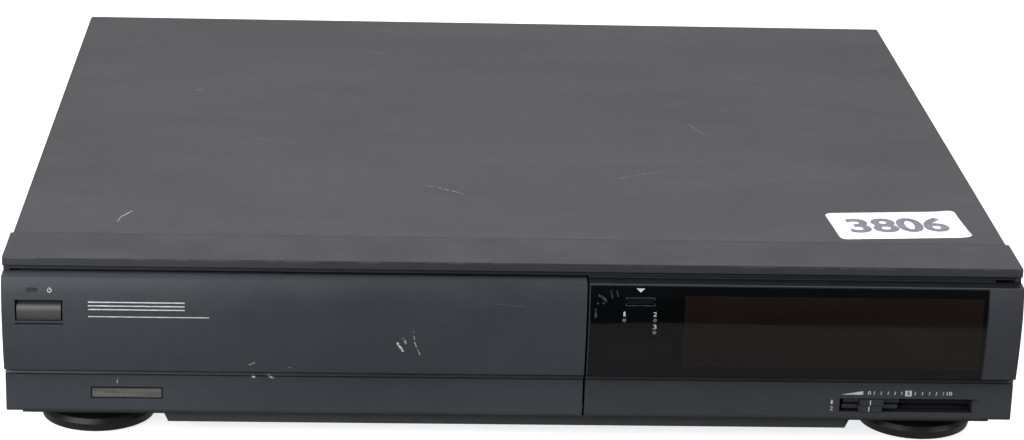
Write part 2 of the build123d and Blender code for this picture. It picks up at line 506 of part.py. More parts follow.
knob = cy(TRK_X, TRK_Z, 7.0, -184.4, -181.0)
knob = chamfer(knob.edges().filter_by(GeomType.CIRCLE).sort_by(Axis.Y)[0], 0.7)
knob += cy(TRK_X, TRK_Z, 3.0, -181.2, -174.4)
knob -= bx(TRK_X - 0.35, TRK_X + 0.35, -185, -183.9, TRK_Z + 1.5, TRK_Z + 7.5)
knob -= fuse([cy(TRK_X + 7.1 * cos(radians(a)), TRK_Z + 7.1 * sin(radians(a)), 0.5, -183.6, -180.5) for a in range(0, 360, 24)])
save("tracking_knob", knob)

# ================================================================ cassette deck
deck = bx(DECK_X0, DECK_X1, DECK_Y0, DECK_Y1, DECK_Z0, DECK_Z1)
deck += bx(DECK_X0, DECK_X1, DECK_Y1 - 1.6, DECK_Y1, DECK_Z1 - 0.1, DECK_Z1 + 6.0)
G0S, G1S = (XC - 34.0, -30.0), (XC - 45.0, 26.0)
G0T, G1T = (XC + 34.0, -30.0), (XC + 45.0, 26.0)
deck -= slot_z(*G0S, *G1S, 2.3, 20, 26)
deck -= slot_z(*G0T, *G1T, 2.3, 20, 26)
deck -= cz(DRUM_X, DRUM_Y, 15.0, 20, 26)
deck -= cz(CAP_X, CAP_Y, 3.05, 20, 26)
deck += cz(PIN_X, PIN_Y, 2.0, DECK_Z1 - 0.1, 44.0)
deck += fuse([cz(XC + s * REEL_DX, REEL_Y, 1.5, DECK_Z1 - 0.1, 40.0) for s in (-1, 1)])
deck += cz(CAM_X, CAM_Y, 2.5, DECK_Z1 - 0.1, 34.5)
deck -= fuse([bx(XC - 20, XC + 20, -125, -60, 20, 26), cz(XC - 85, 40, 9.0, 20, 26), cz(XC - 85, 10, 6.0, 20, 26)])
deck += cz(XC - 60.0, -2.0, 2.0, DECK_Z1 - 0.1, 32.0) + cz(XC + 59.0, 18.0, 2.0, DECK_Z1 - 0.1, 32.0)
# capstan bearing
bear = cz(CAP_X, CAP_Y, 5.5, DECK_Z1 - 0.1, DECK_Z1 + 1.5) + cz(CAP_X, CAP_Y, 3.4, 22.6, 27.3)
deck = deck + bear
deck -= cz(CAP_X, CAP_Y, CAP_R + 0.05, 15, 40)
save("deck_chassis", deck)

# carriage side rails, fixed on the deck
RX = 99.4
rails = []
for s in (-1, 1):
    a, b = sorted((XC + s * RX, XC + s * (RX + 1.2)))
    r = bx(a, b, -142.0, -4.0, DECK_Z1, 79.0)
    foot_a, foot_b = sorted((XC + s * RX, XC + s * (RX + 9.0)))
    r += bx(foot_a, foot_b, -142.0, -4.0, DECK_Z1, DECK_Z1 + 1.2)
    r -= bx(a - 1, b + 1, -133.0, -17.0, 33.8, 37.2)      # lower run
    r -= bx(a - 1, b + 1, -133.0, -17.0, 75.4, 79.5)                     # open upper edge
    r -= fuse([bx(a - 1, b + 1, y, y + 30.0, 44.0, 66.0) for y in (-130.0, -92.0, -54.0)])
    rails.append(r)
save("carriage_rails", group(rails))

# slider plates that travel along the rails and carry the vertical guide slots
SLX = 97.6
sld = []
PINS_Y = (-128.0, -76.0)
for s in (-1, 1):
    a, b = sorted((XC + s * SLX, XC + s * (SLX + 1.2)))
    p = bx(a, b, -140.0, -64.0, 28.0, 74.8)
    for y in PINS_Y:
        p -= bx(a - 1, b + 1, y - 1.9, y + 1.9, 34.0, 58.0)
    oa, ob_ = sorted((XC + s * (SLX + 1.1), XC + s * (RX + 2.4)))
    for y in (-122.0, -72.0):
        p += cx(y, 35.5, 1.5, oa, ob_)
    p -= bx(a - 1, b + 1, -112.0, -90.0, 36.0, 66.0)
    sld.append(p)
save("carriage_slider", group(sld))

# cassette carriage: side walls with ledges, joined by a top bridge
CWX = 95.2
car = bx(XC - CWX - 1.0, XC + CWX + 1.0, CARR_Y0 + 2, CARR_Y1, 73.4, 74.4)
car -= bx(XC - 70, XC + 70, -128, -74, 72, 76)
for s in (-1, 1):
    a, b = sorted((XC + s * CWX, XC + s * (CWX + 1.0)))
    car += bx(a, b, CARR_Y0, CARR_Y1, 45.0, 74.0)
    la, lb = sorted((XC + s * (CWX - 19.0), XC + s * (CWX + 1.0)))
    car += bx(la, lb, CARR_Y0 + 1.0, CARR_Y1, 45.0, 46.0)
    sa, sb = sorted((XC + s * (CWX - 10.0), XC + s * (CWX + 0.5)))
    car += bx(sa, sb, CARR_Y1 - 1.0, CARR_Y1, 45.5, 73.8)
    oa, ob_ = sorted((XC + s * (CWX + 0.9), XC + s * (SLX + 1.4)))
    for y in PINS_Y:
        car += cx(y, 56.0, 1.5, oa, ob_)
    # leaf springs pressed out of the top
    car += bx(XC + s * 45 - 5, XC + s * 45 + 5, -74.5, -60.0, 72.6, 73.5)
save("cassette_carriage", car)

# ---- head drum, tilted
TILT = Pos(DRUM_X, DRUM_Y, 0) * Rot(-DRUM_TILT, 0, 0)
Z_D0, Z_D1, Z_D2 = 21.0, 40.5, 58.5
lower = TILT * (Pos(0, 0, (Z_D0 + Z_D1) / 2) * Cylinder(DRUM_R, Z_D1 - Z_D0))
lower -= TILT * cz(0, 0, 2.55, 10, 60)
lower -= TILT * (cz(0, 0, DRUM_R + 3, 37.0, 37.6) - cz(0, 0, DRUM_R - 0.25, 36, 39))
lower = lower & bx(-300, 300, -300, 300, DECK_Z1, 80)
save("lower_drum", lower)
upper = TILT * fuse([cz(0, 0, DRUM_R, Z_D1 + 0.4, Z_D2), cz(0, 0, 2.5, 26.0, Z_D2 + 1.0), cz(0, 0, 9.0, Z_D2 - 0.1, Z_D2 + 1.6)])
upper -= TILT * fuse([cz(18 * cos(radians(a)), 18 * sin(radians(a)), 2.2, Z_D2 - 3, Z_D2 + 3) for a in (0, 90, 180, 270)])
upper -= TILT * fuse([bx(DRUM_R - 1.2, DRUM_R + 1, -1.6, 1.6, Z_D1, Z_D1 + 1.6), bx(-DRUM_R - 1, -DRUM_R + 1.2, -1.6, 1.6, Z_D1, Z_D1 + 1.6)])
save("upper_drum", upper)

# ---- capstan with its flywheel under the deck
caps = fuse([cz(CAP_X, CAP_Y, CAP_R, 15.0, 54.0), cz(CAP_X, CAP_Y, 24.0, 15.2, 19.4), cz(CAP_X, CAP_Y, 6.0, 19.3, 21.8)])
caps -= fuse([cz(CAP_X + 15 * cos(radians(a)), CAP_Y + 15 * sin(radians(a)), 3.5, 14, 21) for a in range(0, 360, 60)])
save("capstan", caps)

# ---- pinch arm and roller
R_ENG = (CAP_X, CAP_Y - (PINCH_R + CAP_R + 0.12))
ARM_L = hypot(R_ENG[0] - PIN_X, R_ENG[1] - PIN_Y)
A_ENG = atan2(R_ENG[1] - PIN_Y, R_ENG[0] - PIN_X)
SWING = radians(24.0)
A_REST = A_ENG + SWING
ROL = (PIN_X + ARM_L * cos(A_REST), PIN_Y + ARM_L * sin(A_REST))
arm = slot_z(PIN_X, PIN_Y, ROL[0], ROL[1], 3.6, 28.0, 30.0)
arm += cz(PIN_X, PIN_Y, 4.0, 24.6, 40.0) + cz(ROL[0], ROL[1], 1.5, 29.8, 47.0)
arm -= cz(PIN_X, PIN_Y, 2.06, 20, 50)
save("pinch_arm", arm)
rol = cz(ROL[0], ROL[1], PINCH_R, 30.8, 45.8) - cz(ROL[0], ROL[1], 1.56, 20, 60)
save("pinch_roller", rol)


# ---- reel tables
def reel(s):
    x = XC + s * REEL_DX
    r = fuse([cz(x, REEL_Y, 14.5, 24.6, 27.0), cz(x, REEL_Y, 11.0, 26.9, 28.6), cz(x, REEL_Y, 5.2, 28.5, 42.5)])
    r += fuse([Pos(x, REEL_Y, 0) * Rot(0, 0, a) * bx(5.0, 7.6, -0.8, 0.8, 28.5, 40.0) for a in (0, 60, 120, 180, 240, 300)])
    r -= cz(x, REEL_Y, 1.56, 20, 50)
    return r


save("supply_reel_table", reel(-1))
save("takeup_reel_table", reel(1))


# ---- tape guides on sliding bases
def guide(p0, p1, side):
    x, y = p0
    g = fuse([bx(x - 5.5, x + 5.5, y - 5.5, y + 5.5, DECK_Z1 + 0.4, DECK_Z1 + 4.0),
              cz(x, y, 2.0, 20.4, DECK_Z1 + 1.0), cz(x, y, 4.6, 20.4, 22.0),
              cz(x, y, 1.4, DECK_Z1 + 3.9, 49.0), cz(x, y, 3.0, 30.5, 46.5), cz(x, y, 3.8, 46.4, 47.6), cz(x, y, 3.8, 29.4, 30.6)])
    g += Pos(x + side * 3.0, y - 3.4, DECK_Z1 + 3.9) * Rot(18, side * 12, 0) * Cylinder(1.1, 19.0, align=(Align.CENTER, Align.CENTER, Align.MIN))
    return g


save("supply_guide", guide(G0S, G1S, -1))
save("takeup_guide", guide(G0T, G1T, 1))

# ---- fixed heads on their posts
erase = bx(XC - 66.0, XC - 54.0, -7.0, 3.0, 32.0, 48.0) + bx(XC - 64.0, XC - 56.0, -8.6, -6.9, 33.5, 46.5)
audio = bx(XC + 54.0, XC + 64.0, 13.5, 22.5, 32.0, 49.0) + bx(XC + 56.0, XC + 62.0, 12.2, 13.6, 33.5, 47.5)
save("tape_heads", group([erase, audio]))

# ---- cam gear and loading motor
cam = cz(CAM_X, CAM_Y, CAM_R, 26.0, 31.5)
cam = fuse([cam] + [Pos(CAM_X, CAM_Y, 0) * Rot(0, 0, a * 10.0) * bx(CAM_R - 0.6, CAM_R + 1.3, -0.7, 0.7, 26.0, 31.5) for a in range(36)])
cam += cz(CAM_X, CAM_Y, 5.0, 31.4, 33.5)
cam -= cz(CAM_X, CAM_Y, 2.56, 20, 40)
cam -= fuse([cz(CAM_X + 10.5 * cos(radians(a)), CAM_Y + 10.5 * sin(radians(a)), 3.0, 25, 40) for a in (20, 110, 200, 290)])
save("cam_gear", cam)
mot = cx(58.5, 38.0, 9.0, XC + 40.0, XC + 64.0) + cx(58.5, 38.0, 2.6, XC + 63.9, XC + 66.5)
mot += bx(XC + 41.0, XC + 63.0, 50.0, 67.0, DECK_Z1, 34.0)
save("loading_motor", mot)

# ================================================================ electronics
# main board on the right, with shield cans, integrated circuits and capacitors
mb = bx(42.0, 203.0, -150.0, 176.0, 20.0, 21.6)
mb += fuse([cz(x, y, 2.6, Z_PAN1, 20.1) for x, y in ((146.0, -145.0), (198.0, -120.0), (198.0, 90.0), (150.0, 171.0), (146.0, 60.0))])
comp = [bx(60, 100, -120, -80, 21.5, 33), bx(70, 84, -60, -30, 21.5, 24.5), bx(100, 130, -50, -36, 21.5, 25), bx(120, 150, -120, -100, 21.5, 25.5),
        bx(160, 180, -60, -20, 21.5, 37), bx(60, 92, 10, 24, 21.5, 25), bx(110, 150, 5, 45, 21.5, 31), bx(60, 75, 60, 90, 21.5, 27), bx(100, 118, 80, 98, 21.5, 25)]
comp += [cz(x, y, r, 21.5, h) for x, y, r, h in ((170, 20, 5, 33), (182, 32, 4, 31), (92, -20, 3, 30), (140, -70, 4, 32), (152, -70, 4, 32), (80, 110, 4, 31), (95, 120, 5, 35), (60, 130, 3, 29), (190, 60, 5, 35), (176, -100, 5, 36), (188, -92, 4, 31))]
save("main_board", fuse([mb] + comp))

pbd = bx(-200.0, -20.0, 92.0, 178.0, 20.0, 21.6)
pbd += fuse([cz(x, y, 2.6, Z_PAN1, 20.1) for x, y in ((-195.0, 97.0), (-195.0, 173.0), (-26.0, 173.0), (-26.0, 125.0), (-150.0, 125.0))])
pcomp = [cz(-110, 150, 9, 21.5, 50), cz(-88, 150, 9, 21.5, 50), cz(-66, 158, 6.5, 21.5, 42), cz(-50, 158, 6.5, 21.5, 42), bx(-60, -42, 100, 112, 21.5, 38), cz(-34, 150, 5, 21.5, 36), bx(-120, -100, 98, 108, 21.5, 34)]
save("power_board", fuse([pbd] + pcomp))
tr = bx(-190.0, -134.0, 104.0, 148.0, 22.0, 60.0)
coil = bx(-181.0, -143.0, 98.5, 153.5, 28.0, 54.0)
tr += coil
tr += bx(-196.0, -128.0, 108.0, 144.0, 21.8, 23.4)
save("transformer", tr)
hs = bx(-95.0, -40.0, 128.0, 131.0, 21.8, 66.0)
hs += fuse([bx(-95.0 + i * 6.5, -93.4 + i * 6.5, 118.0, 128.1, 24.0, 66.0) for i in range(9)])
save("heat_sink", hs)

tun = bx(118.0, 182.0, 100.0, REAR_Y0 - 0.4, 24.0, 70.0)
tun += fuse([cy(150.0, z, 4.76, REAR_Y0 - 0.5, 193.2) for z in (34.0, 56.0)] + [cy(150.0, z, 7.2, REAR_Y0 - 0.5, 187.0) for z in (34.0, 56.0)])
tun -= fuse([cy(150.0, z, 1.0, 186.5, 195.0) for z in (34.0, 56.0)] + [cy(150.0, z, 3.6, 192.6, 195.0) for z in (34.0, 56.0)])
tun -= bx(119.0, 181.0, 101.0, REAR_Y0 - 1.4, 22.0, 69.0)
save("tuner_module", tun)

jk = bx(20.0, 72.0, 168.0, REAR_Y0 - 0.1, 22.0, 54.0)
shell = []
for x in (28.0, 46.0, 64.0):
    for z in (28.0, 46.0):
        shell.append(cy(x, z, 4.15, REAR_Y0 - 0.2, 193.4) - cy(x, z, 1.6, 186.0, 195.0) - (cy(x, z, 3.7, 187.0, 195.0) - cy(x, z, 2.6, 186.0, 195.0)))
# moulded bosses that stand through the panel behind each jack's sleeve
shell += [cy(x, z, 5.8, REAR_Y0 - 0.2, 186.6) - cy(x, z, 1.6, 186.0, 190.0) for x in (28.0, 46.0, 64.0) for z in (28.0, 46.0)]
jk = fuse([jk] + shell)
jk -= fuse([cy(x, 37.0, 1.4, 160, 190) for x in (18.5, 73.5)])
save("rear_jacks", jk)

inl = bx(-184.0, -156.0, REAR_Y1, REAR_Y1 + 1.6, 21.5, 38.5) + bx(-181.2, -158.8, 172.0, REAR_Y1 + 0.1, 24.3, 35.7)
inl -= bx(-178.4, -161.6, 175.0, 190, 26.0, 34.0)
inl += cy(-173.0, 30.0, 1.2, 174.0, 184.5) + cy(-167.0, 30.0, 1.2, 174.0, 184.5)
save("mains_inlet", inl)

# flat ribbon cable from the front board over to the main board
rib_a = bx(160.0, 190.0, -174.5, -171.2, 62.0, 62.8) + bx(160.0, 190.0, -172.0, -171.2, 40.0, 62.8) + bx(160.0, 190.0, -172.0, -136.0, 40.0, 40.8) + bx(160.0, 190.0, -136.8, -136.0, 21.7, 40.8)
save("ribbon_cable", rib_a)
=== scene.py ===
import bpy
import math
import random
from mathutils import Matrix, Vector


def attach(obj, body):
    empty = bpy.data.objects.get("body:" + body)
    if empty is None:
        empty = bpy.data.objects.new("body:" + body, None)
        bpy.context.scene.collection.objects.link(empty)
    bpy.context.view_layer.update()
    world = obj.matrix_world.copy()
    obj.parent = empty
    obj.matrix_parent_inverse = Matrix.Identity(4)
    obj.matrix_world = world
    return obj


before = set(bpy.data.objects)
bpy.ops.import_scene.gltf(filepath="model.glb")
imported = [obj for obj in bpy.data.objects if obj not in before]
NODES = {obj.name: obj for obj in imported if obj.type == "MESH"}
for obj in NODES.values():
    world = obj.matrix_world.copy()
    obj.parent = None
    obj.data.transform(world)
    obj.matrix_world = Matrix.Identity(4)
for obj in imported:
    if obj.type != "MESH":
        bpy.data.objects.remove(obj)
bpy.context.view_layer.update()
MM = 0.001
scene = bpy.context.scene
random.seed(7)

# ================================================================ camera
# rows: camera right, down and forward axes in the row frame
R = ((0.99877143, -0.04091679, 0.02795454),
     (0.01309407, -0.32615806, -0.94522456),
     (0.04779315, 0.94442932, -0.32522158))
CAM = (-0.0612, -1.3477, 0.5008)
cam_data = bpy.data.cameras.new("photo_camera")
cam = bpy.data.objects.new("photo_camera", cam_data)
scene.collection.objects.link(cam)
cam.matrix_world = Matrix((
    (R[0][0], -R[1][0], -R[2][0], CAM[0]),
    (R[0][1], -R[1][1], -R[2][1], CAM[1]),
    (R[0][2], -R[1][2], -R[2][2], CAM[2]),
    (0, 0, 0, 1)))
cam_data.sensor_width = 36.0
cam_data.lens = 2931.9 * 36.0 / 1024.0
cam_data.clip_start, cam_data.clip_end = 0.02, 60.0
scene.camera = cam
scene.view_settings.view_transform = "Standard"
scene.view_settings.look = "None"

# ================================================================ front profile, as in the CAD
Y_BULGE, Z_APEX, Z_UP0, Z_UP1 = -196.9, 62.0, 34.1, 75.8
Y_BAR0, Y_BAR1 = -193.7, -195.1
R_LOW = ((Y_BAR0 - Y_BULGE) ** 2 + (Z_APEX - Z_UP0) ** 2) / (2 * (Y_BAR0 - Y_BULGE))
R_TOP = ((Y_BAR1 - Y_BULGE) ** 2 + (Z_UP1 - Z_APEX) ** 2) / (2 * (Y_BAR1 - Y_BULGE))
XC = -79.0


def yb(z):
    """Front surface of the barrel-shaped panels at height z, mm."""
    r = R_LOW if z <= Z_APEX else R_TOP
    return Y_BULGE + r - math.sqrt(r * r - (z - Z_APEX) ** 2)


def front_at(x, z):
    """Point on the barrel-shaped front, mm."""
    return (x, yb(z), z)


# ================================================================ material kit
def lin(c):
    """8-bit display colour to linear."""
    out = []
    for v in c:
        v = v / 255.0
        out.append(v / 12.92 if v <= 0.04045 else ((v + 0.055) / 1.055) ** 2.4)
    return tuple(out) + (1.0,)


class Mat:
    """A principled material with helpers that add procedural detail in object space (metres)."""

    def __init__(self, name, base, rough=0.5, metallic=0.0, specular=0.5, coat=0.0, coat_rough=0.1, ior=1.5):
        self.m = bpy.data.materials.new(name)
        self.m.use_nodes = True
        self.nt = self.m.node_tree
        self.nt.nodes.clear()
        self.out = self.new("ShaderNodeOutputMaterial")
        self.p = self.new("ShaderNodeBsdfPrincipled")
        self.link(self.p.outputs[0], self.out.inputs[0])
        self.p.inputs["Metallic"].default_value = metallic
        self.p.inputs["Specular IOR Level"].default_value = specular
        self.p.inputs["IOR"].default_value = ior
        self.p.inputs["Coat Weight"].default_value = coat
        self.p.inputs["Coat Roughness"].default_value = coat_rough
        self.p.inputs["Base Color"].default_value = lin(base)
        self.p.inputs["Roughness"].default_value = rough
        self.tc = self.new("ShaderNodeTexCoord").outputs["Object"]
        self.base = base
        self.color = None        # current colour socket
        self.rough = None        # current roughness socket
        self.height = None       # last normal socket

    def new(self, kind):
        return self.nt.nodes.new(kind)

    def link(self, a, b):
        self.nt.links.new(a, b)

    def noise(self, scale, detail=3.0, rough=0.55, stretch=None, distortion=0.0):
        n = self.new("ShaderNodeTexNoise")
        n.inputs["Scale"].default_value = scale
        n.inputs["Detail"].default_value = detail
        n.inputs["Roughness"].default_value = rough
        n.inputs["Distortion"].default_value = distortion
        src = self.tc
        if stretch:
            mp = self.new("ShaderNodeMapping")
            mp.inputs["Scale"].default_value = stretch
            self.link(src, mp.inputs["Vector"])
            src = mp.outputs[0]
        self.link(src, n.inputs["Vector"])
        return n.outputs["Fac"]

    def ramp(self, src, a, b, lo=0.0, hi=1.0, smooth=True):
        """Maps src from a..b to lo..hi, clamped."""
        n = self.new("ShaderNodeMapRange")
        n.interpolation_type = "SMOOTHSTEP" if smooth else "LINEAR"
        n.inputs["From Min"].default_value = a
        n.inputs["From Max"].default_value = b
        n.inputs["To Min"].default_value = lo
        n.inputs["To Max"].default_value = hi
        self.link(src, n.inputs["Value"])
        return n.outputs[0]

    def math(self, op, a, b=None, c=None):
        n = self.new("ShaderNodeMath")
        n.operation = op
        for i, v in enumerate((a, b, c)):
            if v is None:
                continue
            if isinstance(v, (int, float)):
                n.inputs[i].default_value = v
            else:
                self.link(v, n.inputs[i])
        return n.outputs[0]

    def vmath(self, op, a, b=None, scale=None, value=False):
        n = self.new("ShaderNodeVectorMath")
        n.operation = op
        for i, v in enumerate((a, b)):
            if v is None:
                continue
            if isinstance(v, (tuple, list)):
                n.inputs[i].default_value = v
            else:
                self.link(v, n.inputs[i])
        if scale is not None:
            if isinstance(scale, (int, float)):
                n.inputs["Scale"].default_value = scale
            else:
                self.link(scale, n.inputs["Scale"])
        return n.outputs["Value"] if value else n.outputs["Vector"]

    def xyz(self):
        if not hasattr(self, "_xyz"):
            n = self.new("ShaderNodeSeparateXYZ")
            self.link(self.tc, n.inputs[0])
            self._xyz = n.outputs
        return self._xyz

    def mix(self, fac, a, b):
        """Colour mix; a and b are sockets or display colours."""
        n = self.new("ShaderNodeMix")
        n.data_type = "RGBA"
        n.clamp_factor = True
        self.link(fac, n.inputs[0])
        for i, v in ((6, a), (7, b)):
            if isinstance(v, tuple):
                n.inputs[i].default_value = lin(v)
            else:
                self.link(v, n.inputs[i])
        return n.outputs[2]

    def mixf(self, fac, a, b):
        n = self.new("ShaderNodeMix")
        n.data_type = "FLOAT"
        self.link(fac, n.inputs[0])
        for i, v in ((2, a), (3, b)):
            if isinstance(v, (int, float)):
                n.inputs[i].default_value = v
            else:
                self.link(v, n.inputs[i])
        return n.outputs[0]

    def slab(self, axis, lo, hi, soft=0.0001):
        """1 between two planes across an axis, in mm."""
        s = self.xyz()[axis]
        a = self.ramp(s, lo * MM - soft, lo * MM + soft)
        b = self.ramp(s, hi * MM - soft, hi * MM + soft, 1.0, 0.0)
        return self.math("MULTIPLY", a, b)

    def rect(self, ax, a0, a1, bx_, b0, b1, soft=0.0001):
        return self.math("MULTIPLY", self.slab(ax, a0, a1, soft), self.slab(bx_, b0, b1, soft))

    def disc(self, c, r, soft=0.0002):
        """1 within r mm of a point given in mm."""
        d = self.vmath("DISTANCE", self.tc, tuple(v * MM for v in c), value=True)
        return self.ramp(d, r * MM - soft, r * MM + soft, 1.0, 0.0)

    def stroke(self, a, b, w, breakup=900.0, amount=0.5):
        """A scratch: 1 along the segment a-b (mm), w mm wide, broken up by noise."""
        a, b = Vector(a) * MM, Vector(b) * MM
        ab = b - a
        pa = self.vmath("SUBTRACT", self.tc, tuple(a))
        t = self.vmath("DOT_PRODUCT", pa, tuple(ab / max(ab.length_squared, 1e-12)), value=True)
        t = self.ramp(t, 0.0, 1.0, smooth=False)
        near = self.vmath("SCALE", tuple(ab), scale=t)
        d = self.vmath("LENGTH", self.vmath("SUBTRACT", pa, near), value=True)
        m = self.ramp(d, w * MM * 0.35, w * MM * 0.75, 1.0, 0.0)
        n = self.ramp(self.noise(breakup, 1.0), 0.5 - amount * 0.3, 0.5 + amount * 0.1)
        return self.math("MULTIPLY", m, n)

    def specks(self, cell, radius, share=0.5, seed=0.0):
        """Sparse small specks: one in each cell (mm), radius mm, in a share of the cells."""
        v = self.new("ShaderNodeTexVoronoi")
        v.inputs["Scale"].default_value = 1000.0 / cell
        off = self.vmath("ADD", self.tc, (seed, seed * 0.7, seed * 1.3))
        wob = self.vmath("SCALE", self.noise_color(2500.0), scale=radius * MM * 1.4)
        self.link(self.vmath("ADD", off, wob), v.inputs["Vector"])
        sep = self.new("ShaderNodeSeparateColor")
        self.link(v.outputs["Color"], sep.inputs[0])
        keep = self.ramp(sep.outputs[0], 1.0 - share, 1.0 - share + 0.002)
        size = self.math("MULTIPLY", sep.outputs[1], radius / cell)
        d = self.math("DIVIDE", v.outputs["Distance"], self.math("ADD", size, 0.0008))
        return self.math("MULTIPLY", self.ramp(d, 0.6, 1.0, 1.0, 0.0), keep)

    def noise_color(self, scale):
        n = self.new("ShaderNodeTexNoise")
        n.inputs["Scale"].default_value = scale
        n.inputs["Detail"].default_value = 1.0
        self.link(self.tc, n.inputs["Vector"])
        return n.outputs["Color"]

    # ---- layers
    def mottle(self, dark, light, big=14.0, fine=260.0, fine_share=0.4, stretch=None):
        a = self.noise(big, 4.0, 0.6, stretch)
        b = self.noise(fine, 2.0, 0.6)
        f = self.math("ADD", self.math("MULTIPLY", a, 1.0 - fine_share), self.math("MULTIPLY", b, fine_share))
        self.color = self.mix(self.ramp(f, 0.36, 0.64), dark, light)
        return self

    def paint(self, mask, colour, amount=1.0):
        cur = self.color if self.color is not None else self.base
        if amount < 1.0:
            mask = self.math("MULTIPLY", mask, amount)
        self.color = self.mix(mask, cur, colour)
        return self

    def gloss(self, lo, hi, scale=45.0, detail=4.0, stretch=None):
        self.rough = self.ramp(self.noise(scale, detail, 0.6, stretch), 0.32, 0.68, lo, hi)
        return self

    def gloss_at(self, mask, value):
        self.rough = self.mixf(mask, self.rough, value)
        return self

    def bump(self, src, strength, distance_mm, invert=False):
        n = self.new("ShaderNodeBump")
        n.inputs["Strength"].default_value = strength
        n.inputs["Distance"].default_value = distance_mm * MM
        n.invert = invert
        self.link(src, n.inputs["Height"])
        if self.height is not None:
            self.link(self.height, n.inputs["Normal"])
        self.height = n.outputs["Normal"]
        return self

    def grain(self, size_mm, strength, depth_mm=0.02, detail=2.0, stretch=None):
        return self.bump(self.noise(1000.0 / size_mm, detail, 0.6, stretch), strength, depth_mm)

    def done(self):
        if self.color is not None:
            self.link(self.color, self.p.inputs["Base Color"])
        if self.rough is not None:
            self.link(self.rough, self.p.inputs["Roughness"])
        if self.height is not None:
            self.link(self.height, self.p.inputs["Normal"])
        return self.m


def give(node, mat):
    """The CAD node shows this material."""
    o = NODES[node]
    if not o.material_slots:
        o.data.materials.append(mat)
    for s in o.material_slots:
        s.link = "OBJECT"
        s.material = mat


def scale_c(c, k):
    return tuple(min(255.0, v * k) for v in c)


# ================================================================ materials
# ---- painted steel cover
m = Mat("cover_paint", (45, 44, 48), specular=0.26)
m.mottle((41, 40, 44), (48, 47, 51), big=6.0, fine=120.0, fine_share=0.25, stretch=(0.5, 1.0, 1.0))
m.gloss(0.46, 0.60, 11.0, 5.0, (0.45, 1.0, 1.0))
m.paint(m.specks(34.0, 0.34, 0.35, 0.3), (150, 148, 148), 0.75)
m.paint(m.specks(11.0, 0.16, 0.22, 1.7), (116, 114, 116), 0.6)
for a, b, w, k in (((-170, -137, 83), (-166, -129, 83), 0.55, 0.75), ((-171, -143, 83), (-170, -136, 83), 0.35, 0.6),
                   ((-31, -91, 83), (-20, -99, 83), 0.5, 0.8), ((-32, -90, 83), (-37, -88, 83), 0.35, 0.5),
                   ((-150, 58, 83), (-146, 60, 83), 0.4, 0.5), ((-65, 134, 83), (-56, 131, 83), 0.4, 0.45),
                   ((52, -74, 83), (71, -63, 83), 0.3, 0.35), ((92, 12, 83), (99, -6, 83), 0.3, 0.3),
                   ((-120, -20, 83), (-96, -24, 83), 0.25, 0.25), ((120, 96, 83), (137, 90, 83), 0.3, 0.3)):
    m.paint(m.stroke(a, b, w), (158, 156, 158), k)
m.grain(0.9, 0.22, 0.03, 2.0)
m.grain(7.0, 0.05, 0.05, 1.0)
COVER = m.done()


# ---- moulded front plastic, with the fine spark-eroded grain of a moulding
def front_mat(name, dark, light, rough=(0.40, 0.52), specular=0.36):
    m = Mat(name, dark, specular=specular)
    m.mottle(dark, light, big=9.0, fine=180.0, fine_share=0.3)
    m.gloss(rough[0], rough[1], 26.0, 4.0)
    return m


m = front_mat("front_plastic", (43, 45, 49), (47, 49, 54), specular=0.3)
m.paint(m.specks(26.0, 0.26, 0.3, 2.2), (140, 140, 140), 0.7)
# a patchy lighter line just below the visor's top edge: partly rubbed wear, partly a painted edge highlight
m.paint(m.math("MULTIPLY", m.rect(1, -190.6, -189.6, 2, 82.2, 82.6, 0.0002), m.ramp(m.noise(90.0, 3.0), 0.5, 0.62)), (92, 92, 96), 0.4)
# a dark line along the visor's top edge
m.paint(m.rect(1, -190.6, -189.72, 2, 82.62, 84.0, 0.00012), (14, 15, 17), 0.85)
m.paint(m.rect(1, -190.4, -158.0, 2, 82.95, 83.2, 0.00003), (25, 25, 30), 0.9)
# painted shade: the ledge under the visor, over the window, darkened to near black as the visor shades it
m.paint(m.rect(0, 30.4, 215.2, 2, 76.06, 76.5, 0.00004), (9, 10, 11), 0.93)
# painted shade: the inside of the level knobs' recess is darkened
slot_shade = m.math("MULTIPLY", m.rect(0, 140.3, 198.25, 2, 16.7, 23.4, 0.00005), m.ramp(m.xyz()[1], -0.1897, -0.1894))
m.paint(slot_shade, (13, 14, 16), 0.9)
m.grain(0.55, 0.16, 0.02, 2.0)
FRONT = m.done()

m = front_mat("door_plastic", (42, 46, 51), (47, 51, 56), specular=0.36)
m.paint(m.specks(24.0, 0.26, 0.3, 5.1), (135, 136, 138), 0.7)
for a, b, w, k in ((front_at(-49.6, 48.6), front_at(-47.4, 45.1), 0.85, 0.85), (front_at(-47.5, 51.5), front_at(-46.1, 48.8), 0.9, 0.4),
                   (front_at(-43.0, 55.4), front_at(-42.4, 49.0), 0.38, 0.5), (front_at(-42.4, 49.0), front_at(-40.1, 43.2), 0.36, 0.45),
                   ((-104.3, -189.9, 31.3), (-102.5, -190.0, 29.9), 0.9, 1.0), ((-111.0, -190.0, 30.7), (-110.2, -190.0, 30.3), 0.9, 1.0),
                   (front_at(-112.2, 37.4), front_at(-109.8, 38.5), 0.6, 0.3), (front_at(-95.5, 36.2), front_at(-94.0, 36.9), 0.4, 0.25),
                   ((-167.8, -190.0, 28.6), (-168.0, -190.0, 26.9), 0.4, 0.5), (front_at(-10, 67.2), front_at(4, 66.0), 0.2, 0.08)):
    m.paint(m.stroke(a, b, w, amount=0.35), (196, 198, 200), k)
m.paint(m.rect(1, -195.6, -194.75, 2, 75.72, 76.6, 0.0001), (20, 22, 25), 0.85)      # painted shade: a dark line along the top edge, dulling the highlight the edge catches
m.grain(0.55, 0.15, 0.02, 2.0)
DOOR = m.done()

m = front_mat("inner_plastic", (26, 27, 29), (33, 34, 36), rough=(0.5, 0.65))
m.grain(0.7, 0.2, 0.02)
INNER = m.done()

